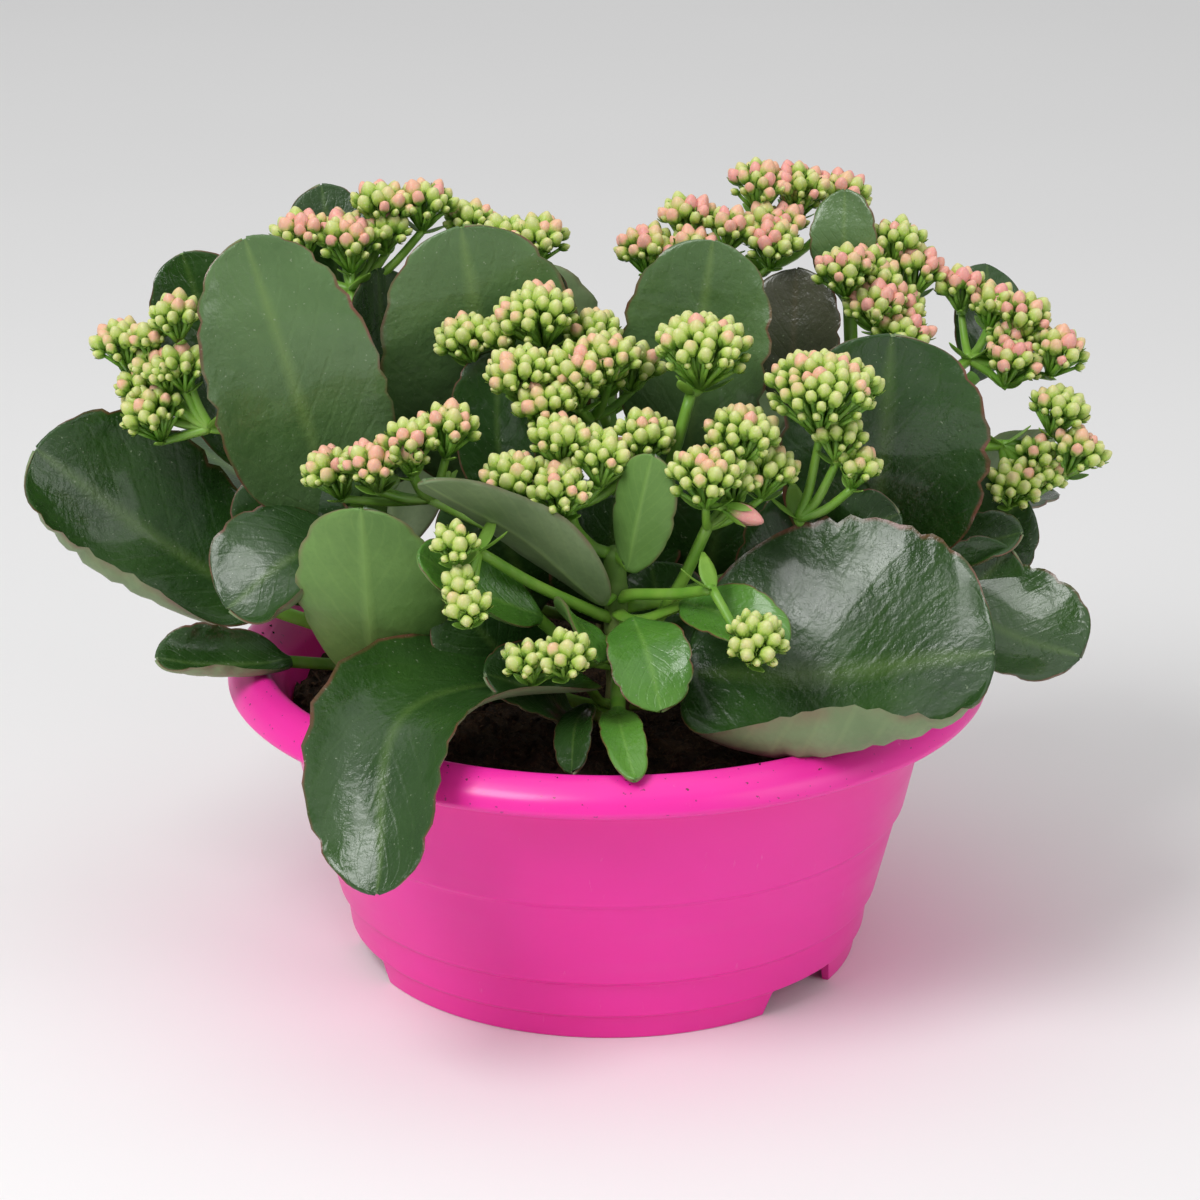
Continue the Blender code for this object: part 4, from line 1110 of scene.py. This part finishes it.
def make_crumbs():
    """Loose crumbs and fibres of peat on the soil, and a few crumbs on the rim."""
    rng = np.random.RandomState(11)
    pile = Pile()
    corners = np.array([(1, 0, 0), (-1, 0, 0), (0, 1, 0), (0, -1, 0), (0, 0, 1), (0, 0, -1)], float)
    sides = [(0, 2, 4), (2, 1, 4), (1, 3, 4), (3, 0, 4), (2, 0, 5), (1, 2, 5), (3, 1, 5), (0, 3, 5)]

    def crumb(x, y, z, size):
        shape = corners * rng.uniform(0.5, 1.2, (6, 3)) * size
        turn = np.linalg.qr(rng.normal(size=(3, 3)))[0]
        if np.linalg.det(turn) < 0:
            turn[:, 0] *= -1
        pile.put(shape @ turn.T + (x, y, z), sides, 0)

    for _ in range(1600):
        r, a = 102.0 * np.sqrt(rng.uniform()), rng.uniform(0, 6.28)
        x, y = r * np.cos(a), r * np.sin(a)
        crumb(x, y, soil_height(x, y) + rng.uniform(0, 1.2), rng.uniform(0.6, 2.0))
    for _ in range(260):
        r, a = 98.0 * np.sqrt(rng.uniform()), rng.uniform(0, 6.28)
        x, y = r * np.cos(a), r * np.sin(a)
        z = soil_height(x, y) + 1.2
        turn, length = rng.uniform(0, 6.28), rng.uniform(4, 12)
        step = np.array((np.cos(turn), np.sin(turn), 0)) * length / 2
        start = np.array((x, y, z))
        crest = start + (rng.uniform(-1, 1), rng.uniform(-1, 1), 1.4)
        path = smooth_path([start - step, crest, start + step], [3, 3])
        if np.hypot(path[:, 0], path[:, 1]).max() < 101:
            pile.put(*tube(path, [0.28] * len(path), 4), 0)
    for _ in range(46):
        a = rng.uniform(0, 6.28)
        r = rng.uniform(108, 121)
        z = np.interp(r, [106, 112.4, 114.8, 119, 123.4], [96, 103, RIM_TOP, 102.8, 99])
        crumb(r * np.cos(a), r * np.sin(a), z, rng.uniform(0.25, 0.7))
    return pile.make("soil_crumbs", "soil", [CRUMB], smooth=False)


def make_stem(name, low, bend, top, radius):
    path = smooth_path([low - np.array((0, 0, 6.0)), bend, top], [20, 20])
    z = path[:, 2]
    rings = sum(np.exp(-((z - h) / 1.6) ** 2) for h in (100, 112, 124, 137, 150, 164, 178))
    radii = radius * (1.12 - 0.2 * (z - z[0]) / (z[-1] - z[0])) + 0.5 * rings
    radii[-1] = radius * 0.4
    return add(f"main_stem_{name}", f"stem_{name}", *tube(path, radii, 14, 0.05), [WOODY],
               node_name=f"stem_{name}")


make_bowl()
make_soil()
make_crumbs()
for name, (low, bend, top, radius) in STEMS.items():
    make_stem(name, np.array(low, float), bend, top, radius)
for index, (name, spec) in enumerate(LEAVES.items()):
    leaf_piece(index, name, spec)
for index, (name, spec) in enumerate(INNER_LEAVES.items()):
    leaf_piece(60 + index, name, spec, "leaf_centre_right")
for index, (name, spec) in enumerate(HEADS.items()):
    flower_head(index, name, spec)


# ---------------------------------------------------------------- floor, light and camera
def floor():
    mat, tree, shader = material("floor", Specular_IOR_Level=0.2, Roughness=0.8)
    tint = ramp(tree, noise(tree, place(tree), 2.0), [(0.3, (0.86, 0.86, 0.86)), (0.7, (0.88, 0.88, 0.88))])
    tree.links.new(tint, shader.inputs["Base Color"])
    mesh = bpy.data.meshes.new("floor")
    mesh.from_pydata([(-6, -6, 0), (6, -6, 0), (6, 6, 0), (-6, 6, 0)], [], [(0, 1, 2, 3)])
    mesh.materials.append(mat)
    obj = bpy.data.objects.new("floor", mesh)
    bpy.context.scene.collection.objects.link(obj)
    obj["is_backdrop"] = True


def lamp(name, place_at, look_at, size, power, colour=(1, 1, 1)):
    data = bpy.data.lights.new(name, "AREA")
    data.shape = "RECTANGLE"
    data.size, data.size_y = size
    data.energy = power
    data.color = colour
    obj = bpy.data.objects.new(name, data)
    spot = np.array(place_at, float)
    z = unit(spot - np.array(look_at, float))
    x = unit(np.cross((0, 0, 1), z))
    y = np.cross(z, x)
    obj.matrix_world = Matrix([(*row,) for row in np.stack([x, y, z, spot], axis=1)] + [(0, 0, 0, 1)])
    bpy.context.scene.collection.objects.link(obj)


floor()
world = bpy.data.worlds.new("studio")
bpy.context.scene.world = world
world.use_nodes = True
world.node_tree.nodes["Background"].inputs["Color"].default_value = (1, 1, 1, 1)
world.node_tree.nodes["Background"].inputs["Strength"].default_value = 0.36
lamp("key", (-0.8, -0.9, 1.45), (0, 0, 0.15), (0.8, 0.8), 19)
lamp("fill", (1.3, -0.9, 0.9), (0, 0, 0.15), (0.8, 0.8), 5)
lamp("ceiling", (0.0, 1.0, 3.5), (0, 0.8, 0), (5.0, 5.0), 48)
bpy.context.scene.view_settings.view_transform = "Standard"

PITCH = 20.13
camera = bpy.data.cameras.new("camera")
camera.sensor_width = 36.0
camera.lens = 118.95
camera_object = bpy.data.objects.new("camera", camera)
camera_object.location = (-0.0025, -1.2206, 0.5657)
camera_object.rotation_euler = (np.radians(90 - PITCH), 0, 0)
bpy.context.scene.collection.objects.link(camera_object)
bpy.context.scene.camera = camera_object

low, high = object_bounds()
